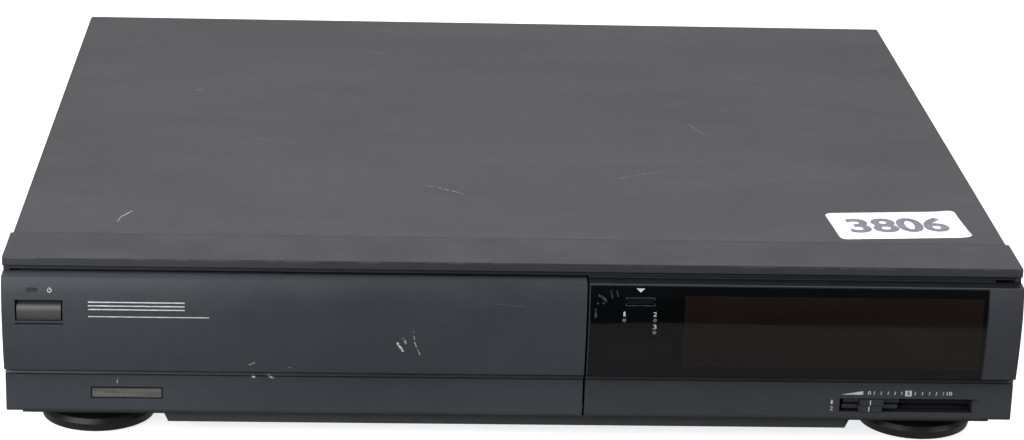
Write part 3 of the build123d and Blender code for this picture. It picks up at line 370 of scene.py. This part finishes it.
# ---- smoked window: darker print border, brown display area and the receiver's patch
m = Mat("window_smoke", (7, 9, 10), specular=0.23)
m.mottle((4, 5, 6), (7, 8, 9), big=16.0, fine=90.0, fine_share=0.2)
disp = m.rect(0, 71.1, 198.1, 2, 38.8, 71.4, 0.00012)
m.color = m.mix(disp, m.color, m.mix(m.ramp(m.noise(30.0, 3.0), 0.35, 0.65), (19, 14, 13), (23, 17, 16)))
m.paint(m.rect(0, 38.2, 66.4, 2, 40.7, 51.9, 0.00012), (13, 9, 11), 1.0)
for a, b, w, k in ((front_at(39.6, 73.4), front_at(40.4, 70.0), 0.3, 0.5), (front_at(42.2, 73.2), front_at(42.8, 70.8), 0.3, 0.45),
                   (front_at(34.8, 71.2), front_at(37.4, 69.6), 0.8, 0.4), (front_at(36.2, 70.6), front_at(37.6, 68.9), 0.9, 0.35),
                   (front_at(34.2, 68.0), front_at(34.6, 67.4), 0.5, 0.5), (front_at(36.6, 68.0), front_at(36.9, 67.7), 0.5, 0.5),
                   (front_at(33.3, 63.6), front_at(33.5, 61.6), 0.9, 0.55), (front_at(33.3, 65.4), front_at(33.5, 64.6), 0.6, 0.3)):
    m.paint(m.stroke(a, b, w, amount=0.8), (90, 92, 94), k)
# painted highlights: lighter lines along the window's right and top edges, where its bevels catch the light
m.paint(m.slab(0, 200.05, 200.6, 0.00006), (52, 55, 57), 0.6)
m.paint(m.slab(2, 75.2, 75.7, 0.00006), (44, 46, 48), 0.5)
m.gloss(0.06, 0.13, 22.0, 4.0)
m.gloss_at(m.specks(9.0, 0.3, 0.4, 3.3), 0.4)
m.grain(18.0, 0.03, 0.04, 1.0)
WINDOW = m.done()

m = Mat("filter_brown", (38, 24, 20), specular=0.5)
m.mottle((34, 22, 18), (42, 27, 22)).gloss(0.25, 0.35).grain(2.0, 0.05)
FILTER = m.done()

m = Mat("light_pipe", (84, 90, 102), specular=0.5, coat=0.3, coat_rough=0.1)
m.mottle((76, 82, 94), (92, 98, 110), big=300.0, fine=1200.0).gloss(0.15, 0.25, 400.0).grain(0.4, 0.08, 0.01)
PIPE = m.done()

m = Mat("power_lens", (40, 43, 46), specular=0.5, coat=0.2, coat_rough=0.1)
m.mottle((36, 39, 42), (46, 49, 52), big=300.0, fine=1200.0).gloss(0.18, 0.3, 400.0).grain(0.4, 0.08, 0.01)
LENS = m.done()

m = Mat("tube_glass", (30, 34, 34), specular=0.6, coat=0.6, coat_rough=0.03)
m.mottle((22, 26, 26), (40, 46, 45), big=40.0, fine=500.0).gloss(0.08, 0.16).grain(3.0, 0.03)
TUBE = m.done()

m = front_mat("button_plastic", (52, 52, 52), (58, 58, 57), rough=(0.34, 0.44))
# painted highlight band across the button's face, since toned down to just below the face's colour
m.paint(m.slab(2, 61.0, 63.1, 0.0004), (48, 49, 49), 0.8)
# painted shade: the button's top, under the recess's upper edge, is darkened
m.paint(m.ramp(m.xyz()[2], 0.0632, 0.0644), (28, 30, 30), 0.85)
m.grain(0.5, 0.14, 0.015)
BUTTON = m.done()

m = front_mat("open_button_plastic", (11, 12, 13), (15, 16, 17), rough=(0.2, 0.3), specular=0.2)
m.grain(0.5, 0.1, 0.01)
OPENB = m.done()

m = front_mat("key_grey", (64, 66, 70), (72, 74, 78), rough=(0.42, 0.52))
m.grain(0.5, 0.14, 0.015)
KEY = m.done()

m = front_mat("key_record", (98, 40, 36), (110, 46, 40), rough=(0.42, 0.52))
m.grain(0.5, 0.14, 0.015)
KEYREC = m.done()

m = front_mat("knob_black", (33, 35, 37), (40, 42, 44), rough=(0.32, 0.44))
m.grain(0.5, 0.12, 0.012)
KNOB = m.done()

# ---- brushed nameplate with a dark rim
m = Mat("name_silver", (118, 118, 116), metallic=0.85, specular=0.5)
m.mottle((92, 92, 91), (126, 126, 122), big=500.0, fine=2600.0, stretch=(0.06, 1.0, 1.0))
rim = m.rect(0, -178.55, -149.45, 2, 20.45, 24.45, 0.00008)
m.color = m.mix(rim, (34, 35, 38), m.color)
m.gloss(0.26, 0.44, 600.0, 3.0, (0.05, 1.0, 1.0))
m.grain(0.6, 0.1, 0.01, 2.0, (0.04, 1.0, 1.0))
NAME = m.done()


# ---- metals and other inner materials
def metal(name, dark, light, rough=(0.28, 0.42), grain=0.8, strength=0.08, stretch=None, metallic=1.0, big=20.0, fine=500.0):
    m = Mat(name, dark, metallic=metallic)
    m.mottle(dark, light, big=big, fine=fine, stretch=stretch)
    m.gloss(rough[0], rough[1], 70.0, 4.0, stretch)
    m.grain(grain, strength, 0.015, 2.0, stretch)
    return m


PAN = metal("pan_zinc", (96, 98, 100), (122, 124, 124), rough=(0.36, 0.55), grain=3.0, big=60.0, fine=240.0).done()
PANB = Mat("bottom_paint", (42, 44, 46))
PANB.mottle((38, 40, 42), (46, 48, 50)).gloss(0.5, 0.62).grain(0.9, 0.2, 0.03)
PANB.paint(PANB.specks(16.0, 0.3, 0.4, 8.0), (96, 96, 96), 0.6)
PANB = PANB.done()
REAR = Mat("rear_paint", (40, 41, 43))
REAR.mottle((36, 37, 39), (45, 46, 48)).gloss(0.45, 0.58).grain(0.9, 0.2, 0.03)
REAR.paint(REAR.specks(18.0, 0.3, 0.35, 4.0), (110, 110, 110), 0.6)
REAR = REAR.done()

m = Mat("foot_plastic", (16, 17, 18), specular=0.28)
m.mottle((14, 15, 16), (19, 20, 21), big=40.0, fine=300.0).gloss(0.42, 0.55, 60.0)
m.paint(m.specks(9.0, 0.3, 0.4, 6.0), (96, 94, 92), 0.6)
m.grain(0.8, 0.18, 0.02)
FOOT = m.done()
m = Mat("pad_rubber", (22, 22, 22), specular=0.3)
m.mottle((18, 18, 18), (27, 27, 27)).gloss(0.75, 0.9).grain(1.4, 0.3, 0.05)
RUBPAD = m.done()
SCREW = metal("screw_steel", (54, 54, 56), (74, 74, 76), rough=(0.3, 0.45), grain=0.4, strength=0.1).done()
PIN = metal("bright_pin", (150, 150, 150), (176, 176, 174), rough=(0.18, 0.3)).done()
GEARW = front_mat("gear_white", (176, 174, 164), (192, 190, 180), rough=(0.4, 0.5)); GEARW.grain(1.0, 0.1, 0.02); GEARW = GEARW.done()
GEARB = front_mat("gear_black", (24, 25, 27), (32, 33, 35), rough=(0.36, 0.5)); GEARB.grain(1.0, 0.12, 0.02); GEARB = GEARB.done()
DECK = metal("deck_steel", (128, 128, 124), (152, 152, 146), rough=(0.3, 0.48), grain=4.0, big=40.0, fine=260.0).done()
CARR = metal("carriage_steel", (104, 106, 108), (134, 136, 137), rough=(0.3, 0.44), grain=3.0, big=50.0).done()
m = metal("drum_aluminium", (168, 168, 166), (196, 196, 194), rough=(0.16, 0.26), grain=0.5, strength=0.08, stretch=(1, 1, 14))
DRUM = m.done()
ROLL = Mat("roller_rubber", (20, 20, 20), specular=0.3); ROLL.mottle((16, 16, 16), (26, 26, 26)).gloss(0.6, 0.8).grain(0.8, 0.15, 0.02); ROLL = ROLL.done()
HEAD = metal("head_metal", (138, 138, 136), (170, 170, 168), rough=(0.15, 0.26), grain=0.6).done()
m = metal("motor_steel", (110, 110, 108), (140, 140, 138), rough=(0.25, 0.38), grain=0.8, stretch=(0.08, 1, 1))
m.paint(m.slab(2, 20.0, 46.0), (26, 27, 29), 1.0)
MOTOR = m.done()
m = Mat("core_lacquer", (60, 52, 44), specular=0.5)
m.mottle((52, 46, 40), (74, 64, 54), big=30.0, fine=1200.0, stretch=(1, 1, 6)).gloss(0.35, 0.5)
m.paint(m.math("MULTIPLY", m.slab(2, 28.1, 53.9), m.math("MAXIMUM", m.slab(1, 90.0, 103.9), m.slab(1, 148.1, 160.0))), (148, 120, 60), 1.0)
m.bump(m.noise(1600.0, 1.0, 0.5, (0.05, 1.0, 1.0)), 0.3, 0.15)
CORE = m.done()
SINK = metal("sink_aluminium", (150, 150, 150), (176, 176, 176), rough=(0.34, 0.5), grain=1.0).done()
m = metal("can_tin", (150, 150, 144), (180, 180, 172), rough=(0.24, 0.4), grain=6.0, big=50.0)
m.paint(m.ramp(m.xyz()[1], 0.1862, 0.1864), (186, 184, 176), 0.4)
CAN = m.done()


def board(name, top, extra):
    """Printed board: green lacquer with paler tracks and pads; what stands on it is dark, with metal and sleeve colours by place."""
    m = Mat(name, (18, 60, 38), specular=0.5)
    m.mottle((16, 56, 36), (24, 72, 44), big=40.0, fine=300.0)
    for st in ((1.0, 0.12, 1.0), (0.12, 1.0, 1.0)):
        n = m.noise(240.0, 0.0, 0.5, st)
        m.paint(m.math("MULTIPLY", m.ramp(n, 0.49, 0.495), m.ramp(n, 0.515, 0.51)), (44, 104, 66), 0.8)
    m.paint(m.specks(3.2, 0.7, 0.5, 1.1), (168, 166, 152), 0.85)
    up = m.ramp(m.xyz()[2], top * MM, (top + 0.05) * MM)
    m.paint(up, (24, 25, 27), 1.0)
    for (x0, x1, y0, y1, z0, c) in extra:
        m.paint(m.math("MULTIPLY", m.rect(0, x0, x1, 1, y0, y1), m.ramp(m.xyz()[2], z0 * MM, (z0 + 0.05) * MM)), c, 1.0)
    m.gloss(0.3, 0.5, 60.0)
    m.grain(1.2, 0.15, 0.03)
    return m.done()


MAINB = board("main_board_green", 21.65, [
    (59.5, 100.5, -120.5, -79.5, 21.7, (150, 150, 146)), (109.5, 150.5, 4.5, 45.5, 21.7, (158, 158, 152)),
    (159, 181, -61, -19, 21.7, (150, 148, 140)), (59, 93, 9, 25, 21.7, (28, 28, 30)),
    (164, 176, 14, 26, 21.7, (30, 44, 84)), (177, 187, 27, 37, 21.7, (28, 40, 78)), (184, 196, 54, 66, 21.7, (30, 44, 84)),
    (170, 182, -106, -94, 21.7, (34, 34, 36)), (90, 100, 115, 125, 21.7, (30, 44, 84))])
POWERB = board("power_board_tan", 21.65, [
    (-120, -100, 140, 160, 21.7, (34, 36, 40)), (-98, -78, 140, 160, 21.7, (34, 36, 40)), (-74, -58, 150, 166, 21.7, (30, 44, 84)),
    (-58, -42, 150, 166, 21.7, (30, 44, 84)), (-61, -41, 99, 113, 21.7, (150, 60, 40)), (-121, -99, 97, 109, 21.7, (190, 170, 90))])
m = Mat("front_board_green", (18, 60, 38))
m.mottle((16, 56, 36), (24, 72, 44), big=40.0, fine=300.0)
n = m.noise(240.0, 0.0, 0.5, (0.12, 1.0, 1.0))
m.paint(m.math("MULTIPLY", m.ramp(n, 0.49, 0.495), m.ramp(n, 0.515, 0.51)), (44, 104, 66), 0.8)
m.paint(m.specks(3.2, 0.6, 0.5, 2.1), (168, 166, 152), 0.85)
m.gloss(0.3, 0.5, 60.0).grain(1.2, 0.12, 0.03)
FRONTB = m.done()

m = metal("jack_chrome", (170, 170, 168), (196, 196, 192), rough=(0.14, 0.24), grain=1.0)
body = m.ramp(m.xyz()[1], 0.1847, 0.1848, 1.0, 0.0)
m.paint(body, (26, 26, 28), 1.0)
JACK = m.done()
INLET = front_mat("inlet_plastic", (24, 25, 26), (31, 32, 33), rough=(0.4, 0.52)); INLET.grain(0.7, 0.15, 0.02); INLET = INLET.done()
m = Mat("ribbon_grey", (150, 152, 154), specular=0.4)
m.mottle((142, 144, 146), (158, 160, 160))
m.paint(m.ramp(m.math("SINE", m.math("MULTIPLY", m.xyz()[0], 4946.0)), 0.2, 0.6), (112, 114, 118), 0.8)
m.gloss(0.4, 0.5).grain(1.0, 0.08)
RIBBON = m.done()
m = Mat("receiver_dark", (18, 12, 14), specular=0.6, coat=0.4)
m.mottle((16, 11, 12), (24, 16, 18)).gloss(0.15, 0.3).grain(1.0, 0.05)
RECV = m.done()

ASSIGN = {
    "top_cover": COVER, "front_bezel": FRONT, "bottom_chassis": PAN, "bottom_cover": PANB, "rear_panel": REAR,
    "feet": FOOT, "foot_pads": RUBPAD, "case_screws": SCREW, "display_window": WINDOW, "display_filter": FILTER,
    "indicator_lights": PIPE, "display_tube": TUBE, "infrared_receiver": RECV, "front_circuit_board": FRONTB,
    "level_slide_unit": INNER, "level_knob_left": KNOB, "level_knob_right": KNOB, "open_button": OPENB,
    "door_latch": GEARB, "door_panel": DOOR, "door_liner": INNER, "door_hinge_pins": PIN, "power_light": LENS,
    "nameplate": NAME, "power_button": BUTTON, "door_damper_gear": GEARW, "inner_fascia": INNER, "cassette_flap": INNER,
    "rewind_button": KEY, "play_button": KEY, "fast_forward_button": KEY, "stop_button": KEY, "pause_button": KEY,
    "record_button": KEYREC, "eject_button": KEY, "tracking_knob": KNOB, "deck_chassis": DECK, "carriage_rails": CARR,
    "carriage_slider": CARR, "cassette_carriage": CARR, "lower_drum": DRUM, "upper_drum": DRUM, "capstan": PIN,
    "pinch_arm": CARR, "pinch_roller": ROLL, "supply_reel_table": GEARB, "takeup_reel_table": GEARB,
    "supply_guide": PIN, "takeup_guide": PIN, "tape_heads": HEAD, "cam_gear": GEARW, "loading_motor": MOTOR,
    "main_board": MAINB, "power_board": POWERB, "transformer": CORE, "heat_sink": SINK, "tuner_module": CAN,
    "rear_jacks": JACK, "mains_inlet": INLET, "ribbon_cable": RIBBON,
}
for node, mat in ASSIGN.items():
    give(node, mat)
left_over = sorted(set(NODES) - set(ASSIGN))
if left_over:
    raise SystemExit("no material for " + ", ".join(left_over))


# ================================================================ edge softening helper, not applied to any node here
def soften(node, width, segments=2, angle=32.0):
    """Rounds a CAD node's hard edges so that they catch the light, as a moulded or folded edge does."""
    o = NODES[node]
    w = o.modifiers.new("weld", "WELD")
    w.merge_threshold = 0.000002
    d = o.modifiers.new("flats", "DECIMATE")
    d.decimate_type = "DISSOLVE"
    d.angle_limit = math.radians(0.4)
    b = o.modifiers.new("edges", "BEVEL")
    b.width = width * MM
    b.segments = segments
    b.limit_method = "ANGLE"
    b.angle_limit = math.radians(angle)
    b.use_clamp_overlap = True
    b.miter_outer = "MITER_SHARP"
    n = o.modifiers.new("normals", "WEIGHTED_NORMAL")
    n.keep_sharp = False
    n.weight = 50


# ================================================================ printed marks and the label
INK = Mat("ink_white", (176, 178, 180), specular=0.4)
INK.mottle((160, 162, 164), (186, 188, 190), big=400.0, fine=3000.0).gloss(0.45, 0.6, 500.0).grain(0.4, 0.1, 0.01)
INK = INK.done()
INKG = Mat("ink_grey", (118, 120, 122), specular=0.4)
INKG.mottle((104, 106, 108), (128, 130, 132), big=400.0, fine=3000.0).gloss(0.45, 0.6, 500.0).grain(0.4, 0.1, 0.01)
INKG = INKG.done()
INKD = Mat("ink_dark_grey", (66, 70, 74), specular=0.4)
INKD.mottle((60, 64, 68), (72, 76, 80), big=400.0, fine=3000.0).gloss(0.45, 0.6, 500.0).grain(0.4, 0.1, 0.01)
INKD = INKD.done()


def mesh_piece(name, verts, faces, mat, body):
    me = bpy.data.meshes.new(name)
    me.from_pydata([tuple(c * MM for c in v) for v in verts], [], faces)
    me.validate()
    me.update()
    o = bpy.data.objects.new(name, me)
    scene.collection.objects.link(o)
    me.materials.append(mat)
    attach(o, body)
    return o


class Print:
    """Flat printed outlines, each a closed thin solid, gathered into one piece. place maps (u, v, depth) to row-frame mm."""

    def __init__(self, place, lift=0.03, sink=0.06):
        self.v, self.f, self.place, self.lift, self.sink = [], [], place, lift, sink

    def outline(self, pts):
        n, k = len(pts), len(self.v)
        for d in (self.lift, -self.sink):
            self.v += [self.place(u, v, d) for u, v in pts]
        self.f.append([k + i for i in range(n)])
        self.f.append([k + n + i for i in reversed(range(n))])
        for i in range(n):
            j = (i + 1) % n
            self.f.append([k + j, k + i, k + n + i, k + n + j])

    def bar(self, u0, v0, u1, v1, w):
        """Straight stroke from one end to the other."""
        a = Vector((u1 - u0, v1 - v0)).normalized()
        nx, ny = -a.y * w / 2, a.x * w / 2
        self.outline([(u0 - nx, v0 - ny), (u1 - nx, v1 - ny), (u1 + nx, v1 + ny), (u0 + nx, v0 + ny)])

    def rect(self, u0, v0, u1, v1):
        self.outline([(u0, v0), (u1, v0), (u1, v1), (u0, v1)])

    def arc(self, u, v, r, a0, a1, w, n=18):
        out = []
        for i in range(n + 1):
            a = math.radians(a0 + (a1 - a0) * i / n)
            out.append((u + (r + w / 2) * math.cos(a), v + (r + w / 2) * math.sin(a)))
        for i in range(n, -1, -1):
            a = math.radians(a0 + (a1 - a0) * i / n)
            out.append((u + (r - w / 2) * math.cos(a), v + (r - w / 2) * math.sin(a)))
        for i in range(n):
            self.outline([out[i], out[i + 1], out[2 * n - i], out[2 * n + 1 - i]])

    def text(self, s, u0, v0, u1, v1, bold=0.0):
        """Generic letters or digits, fitted into a rectangle."""
        c = bpy.data.curves.new("glyphs", "FONT")
        c.body = s
        c.size = 1.0
        c.offset = bold
        c.resolution_u = 6
        c.fill_mode = "FRONT"
        o = bpy.data.objects.new("glyphs", c)
        scene.collection.objects.link(o)
        bpy.context.view_layer.update()
        me = bpy.data.meshes.new_from_object(o)
        xs = [p.co.x for p in me.vertices]
        ys = [p.co.y for p in me.vertices]
        ax, bx_, ay, by = min(xs), max(xs), min(ys), max(ys)
        put = [(u0 + (p.co.x - ax) / (bx_ - ax) * (u1 - u0), v0 + (p.co.y - ay) / (by - ay) * (v1 - v0)) for p in me.vertices]
        polys = [list(p.vertices) for p in me.polygons]
        edges = {}
        for p in polys:
            for i in range(len(p)):
                a, b = p[i], p[(i + 1) % len(p)]
                edges[(a, b)] = edges.get((a, b), 0) + 1
        k, n = len(self.v), len(put)
        for d in (self.lift, -self.sink):
            self.v += [self.place(u, v, d) for u, v in put]
        for p in polys:
            self.f.append([k + i for i in p])
            self.f.append([k + n + i for i in reversed(p)])
        for (a, b) in edges:
            if (b, a) not in edges:
                self.f.append([k + b, k + a, k + n + a, k + n + b])
        bpy.data.objects.remove(o)
        bpy.data.curves.remove(c)
        bpy.data.meshes.remove(me)

    def piece(self, name, mat, body):
        return mesh_piece(name, self.v, self.f, mat, body)


def on_strip(u, v, d):
    return (u, -190.0 - d, v)


def on_barrel(u, v, d):
    return (u, yb(v) - d, v)


# level scale on the right end of the lower strip
p = Print(on_strip)
p.outline([(141.2, 24.95), (150.4, 24.95), (150.4, 26.55)])           # rising wedge, the usual sign for a level
p.text("1", 136.7, 20.55, 137.5, 22.35, 0.0)
p.text("2", 136.4, 17.6, 137.8, 19.4, 0.0)
p.text("0", 152.5, 24.95, 153.8, 26.6, 0.02)
for x in (155.2, 158.2, 161.2, 164.2, 167.1, 172.9, 176.05, 179.1, 182.1, 185.1):
    p.bar(x - 0.1, 25.0, x + 0.12, 26.5, 0.34)
p.text("10", 186.5, 24.95, 188.9, 26.6, 0.02)
p.rect(168.6, 24.4, 171.4, 27.0)
p.piece("level_scale", INK, "case")
p = Print(on_strip, lift=0.055, sink=0.02)
p.text("5", 169.35, 24.85, 170.65, 26.55, 0.02)
p.piece("level_scale_mid", KNOB, "case")

# index lines on the two level knobs
for name, x, z0, z1 in (("left", 154.3, 20.3, 22.5), ("right", 153.8, 17.4, 19.6)):
    p = Print(lambda u, v, d: (u, -190.5 - d, v), lift=0.02, sink=0.05)
    p.rect(x - 0.75, z0, x - 0.3, z1)
    p.piece("index_line_" + name, INK, "level_" + name)

# marks on the window
p = Print(on_barrel)
p.outline([(50.4, 74.3), (52.2, 72.7), (54.0, 74.3)])                 # triangle over the open button
p.text("1", 45.15, 62.3, 46.05, 64.3, 0.0)
p.text("2", 57.85, 62.3, 59.35, 64.3, 0.0)
p.text("3", 57.85, 56.6, 59.35, 58.6, 0.0)
p.piece("window_marks", INK, "case")
p = Print(on_barrel, lift=0.02)
b0, b1, c0, c1 = 46.1, 58.3, 67.05, 70.35
for (u0, v0, u1, v1) in ((b0, c0, b1, c0), (b1, c0, b1, c1), (b1, c1, b0, c1), (b0, c1, b0, c0)):
    p.bar(u0, v0, u1, v1, 0.16)
p.piece("open_button_outline", INKD, "case")

# power mark and plain pinstripes on the door
p = Print(on_barrel)
p.arc(-194.9, 70.65, 0.82, 125.0, 415.0, 0.26, 20)
p.rect(-195.03, 70.75, -194.77, 71.95)
for v in (65.8, 64.2, 62.6):
    p.rect(-179.0, v - 0.24, -138.8, v + 0.24)
p.rect(-179.0, 59.2, -128.7, 59.6)
p.piece("door_marks", INK, "door")

# ---- the label on the cover, slightly lifted at its right corners
PAPER = Mat("label_paper", (222, 219, 226), specular=0.45, coat=0.15, coat_rough=0.3)
PAPER.mottle((214, 211, 218), (228, 226, 232), big=30.0, fine=700.0).gloss(0.38, 0.52, 60.0)
PAPER.paint(PAPER.specks(8.0, 0.25, 0.4, 9.0), (180, 176, 180), 0.6)
PAPER.grain(1.2, 0.08, 0.02)
PAPER = PAPER.done()
DIGIT = Mat("label_digits", (96, 90, 104), specular=0.4)
DIGIT.mottle((88, 83, 97), (104, 98, 112), big=120.0, fine=1500.0).gloss(0.42, 0.55, 80.0).grain(0.8, 0.06, 0.01)
DIGIT = DIGIT.done()
LX, LY, LA = 170.6, -134.8, math.radians(4.4)
LW, LD = 59.0, 34.9


def lift_at(u, v):
    """How far the label stands off the cover, mm."""
    h = 0.0
    for cu, cv, size, top in ((LW / 2, LD / 2, 9.0, 0.7), (LW / 2, -LD / 2, 6.0, 0.45)):
        d = (u - cu) * (1 if cu > 0 else -1) * 0.7071 + (v - cv) * (1 if cv > 0 else -1) * 0.7071 + size
        if d > 0:
            h += top * min(1.0, d / size) ** 2
    return h


def on_label(u, v, d):
    x = LX + u * math.cos(LA) - v * math.sin(LA)
    y = LY + u * math.sin(LA) + v * math.cos(LA)
    return (x, y, 83.02 + d + lift_at(u, v))


def label_outline():
    pts, r = [], 3.2
    for cx_, cy_, a0 in ((LW / 2 - r, LD / 2 - r, 0), (-LW / 2 + r, LD / 2 - r, 90), (-LW / 2 + r, -LD / 2 + r, 180), (LW / 2 - r, -LD / 2 + r, 270)):
        for i in range(9):
            a = math.radians(a0 + 90 * i / 8)
            pts.append((cx_ + r * math.cos(a), cy_ + r * math.sin(a)))
    return pts


def inside(u, v):
    r = 3.2
    du, dv = abs(u) - (LW / 2 - r), abs(v) - (LD / 2 - r)
    return not (du > 0 and dv > 0 and math.hypot(du, dv) > r) and abs(u) <= LW / 2 and abs(v) <= LD / 2


# a fine grid in label space, with its rim drawn in to the rounded outline
nu, nv = 60, 36
grid = []
for j in range(nv + 1):
    for i in range(nu + 1):
        u, v = -LW / 2 + LW * i / nu, -LD / 2 + LD * j / nv
        r = 3.2
        du, dv = abs(u) - (LW / 2 - r), abs(v) - (LD / 2 - r)
        if du > 0 and dv > 0 and math.hypot(du, dv) > 1e-9:
            # square corner patch mapped onto the quarter disc
            k = max(du, dv) / math.hypot(du, dv)
            u = math.copysign(LW / 2 - r + du * k, u)
            v = math.copysign(LD / 2 - r + dv * k, v)
        grid.append((u, v))
verts, faces = [], []
n = len(grid)
for d in (0.09, 0.0):
    verts += [on_label(u, v, d) for u, v in grid]
for j in range(nv):
    for i in range(nu):
        a = j * (nu + 1) + i
        q = [a, a + 1, a + nu + 2, a + nu + 1]
        faces.append(q)
        faces.append([n + k for k in reversed(q)])
rim_loop = [i for i in range(nu + 1)] + [j * (nu + 1) + nu for j in range(1, nv + 1)] + [nv * (nu + 1) + i for i in range(nu - 1, -1, -1)] + [j * (nu + 1) for j in range(nv - 1, 0, -1)]
for i in range(len(rim_loop)):
    a, b = rim_loop[i], rim_loop[(i + 1) % len(rim_loop)]
    faces.append([b, a, n + a, n + b])
label = mesh_piece("number_label", verts, faces, PAPER, "case")
for f in label.data.polygons:
    f.use_smooth = True

p = Print(on_label, lift=0.115, sink=-0.085)
p.text("3806", -22.6, -9.6, 22.2, 9.6, 0.035)
p.piece("number_label_digits", DIGIT, "case")

# ================================================================ floor and light
floor_mat = Mat("floor_pale", (176, 176, 176), specular=0.1)
floor_mat.mottle((174, 174, 174), (178, 178, 178), big=1.5, fine=30.0).gloss(0.6, 0.7, 10.0).grain(6.0, 0.02, 0.1)
floor_mat.p.inputs["Emission Color"].default_value = (0.98, 0.99, 1.0, 1.0)
floor_mat.p.inputs["Emission Strength"].default_value = 0.8
FLOOR = floor_mat.done()
nt = FLOOR.node_tree
mixs = nt.nodes.new("ShaderNodeMixShader")
clear = nt.nodes.new("ShaderNodeBsdfTransparent")
geo = nt.nodes.new("ShaderNodeNewGeometry")
nt.links.new(geo.outputs["Backfacing"], mixs.inputs[0])
nt.links.new(floor_mat.p.outputs[0], mixs.inputs[1])
nt.links.new(clear.outputs[0], mixs.inputs[2])
nt.links.new(mixs.outputs[0], floor_mat.out.inputs[0])
me = bpy.data.meshes.new("floor")
me.from_pydata([(-6, -6, 0), (6, -6, 0), (6, 6, 0), (-6, 6, 0)], [], [(0, 1, 2, 3)])
floor = bpy.data.objects.new("floor", me)
scene.collection.objects.link(floor)
me.materials.append(FLOOR)
floor.visible_diffuse = False      # the dark front is lit by the room, not by the white table
floor.visible_glossy = False
floor.visible_shadow = False
# what polished faces mirror in place of the white table: a dim grey table
MIRRORED = Mat("table_dim", (30, 30, 30), specular=0.1)
MIRRORED.mottle((28, 28, 28), (32, 32, 32), big=1.5, fine=30.0).gloss(0.8, 0.9, 10.0)
MIRRORED.p.inputs["Emission Color"].default_value = (1.0, 1.0, 1.0, 1.0)
MIRRORED.p.inputs["Emission Strength"].default_value = 0.46
me = bpy.data.meshes.new("table_dim")
me.from_pydata([(-6, -0.325, 0.001), (6, -0.325, 0.001), (6, 6, 0.001), (-6, 6, 0.001)], [], [(0, 1, 2, 3)])
dim = bpy.data.objects.new("table_dim", me)
scene.collection.objects.link(dim)
me.materials.append(MIRRORED.done())
dim.visible_camera = False
dim.visible_diffuse = False
dim.visible_shadow = False
dim.visible_transmission = False

world = bpy.data.worlds.new("studio")
scene.world = world
world.use_nodes = True
wn = world.node_tree
wn.nodes.clear()
wo = wn.nodes.new("ShaderNodeOutputWorld")
bg = wn.nodes.new("ShaderNodeBackground")
tc = wn.nodes.new("ShaderNodeTexCoord")
sep = wn.nodes.new("ShaderNodeSeparateXYZ")
wn.links.new(tc.outputs["Generated"], sep.inputs[0])


def span(src, a, b, lo, hi):
    n = wn.nodes.new("ShaderNodeMapRange")
    n.interpolation_type = "SMOOTHSTEP"
    for k, v in (("From Min", a), ("From Max", b), ("To Min", lo), ("To Max", hi)):
        n.inputs[k].default_value = v
    wn.links.new(src, n.inputs["Value"])
    return n.outputs[0]


def wmath(op, a, b):
    n = wn.nodes.new("ShaderNodeMath")
    n.operation = op
    for i, v in enumerate((a, b)):
        if isinstance(v, (int, float)):
            n.inputs[i].default_value = v
        else:
            wn.links.new(v, n.inputs[i])
    return n.outputs[0]


# pale studio walls, bright ceiling, and a darker room in front of the object
walls = span(sep.outputs[2], 0.0, 0.9, 0.36, 0.9)
front_dark = wmath("MULTIPLY", span(sep.outputs[1], 0.15, -0.55, 0.0, 1.0), span(sep.outputs[2], 0.5, 0.9, 1.0, 0.0))
strength = wmath("MULTIPLY", walls, wmath("SUBTRACT", 1.0, wmath("MULTIPLY", front_dark, 0.8)))
wn.links.new(strength, bg.inputs["Strength"])
bg.inputs["Color"].default_value = (0.97, 0.985, 1.0, 1.0)
wn.links.new(bg.outputs[0], wo.inputs[0])


def area(name, loc, target, size, energy, colour=(1, 1, 1)):
    d = bpy.data.lights.new(name, "AREA")
    d.shape = "RECTANGLE"
    d.size, d.size_y = size
    d.energy = energy
    d.color = colour
    o = bpy.data.objects.new(name, d)
    scene.collection.objects.link(o)
    o.location = loc
    o.rotation_euler = (Vector(target) - Vector(loc)).to_track_quat("-Z", "Y").to_euler()
    return o


area("softbox_top", (-0.55, -0.45, 1.9), (0, 0, 0), (1.8, 1.3), 40.0)
area("softbox_back", (0.3, 1.7, 1.6), (0, 0, 0.05), (2.2, 0.9), 12.0)
area("softbox_left", (-0.52, -0.50, 0.28), (-0.18, -0.19, 0.05), (0.2, 0.24), 2.6)
area("softbox_front_left", (-0.46, -0.86, 0.37), (-0.15, -0.19, 0.07), (0.3, 0.3), 3.8)
area("softbox_right", (0.56, -0.42, 0.28), (0.2, -0.19, 0.05), (0.2, 0.24), 2.3)

# a black card on the table in front, out of the camera's sight: the glossy window mirrors its near edge
me = bpy.data.meshes.new("flag")
me.from_pydata([(-3, -3, 0.002), (3, -3, 0.002), (3, -0.325, 0.002), (-3, -0.325, 0.002)], [], [(0, 1, 2, 3)])
flag = bpy.data.objects.new("flag", me)
scene.collection.objects.link(flag)
dark = Mat("flag_black", (14, 14, 15), specular=0.1)
dark.mottle((12, 12, 13), (16, 16, 17), big=3.0, fine=60.0).gloss(0.8, 0.9, 10.0)
me.materials.append(dark.done())
flag.visible_camera = False
flag.visible_diffuse = False
flag.visible_shadow = False
flag.visible_transmission = False
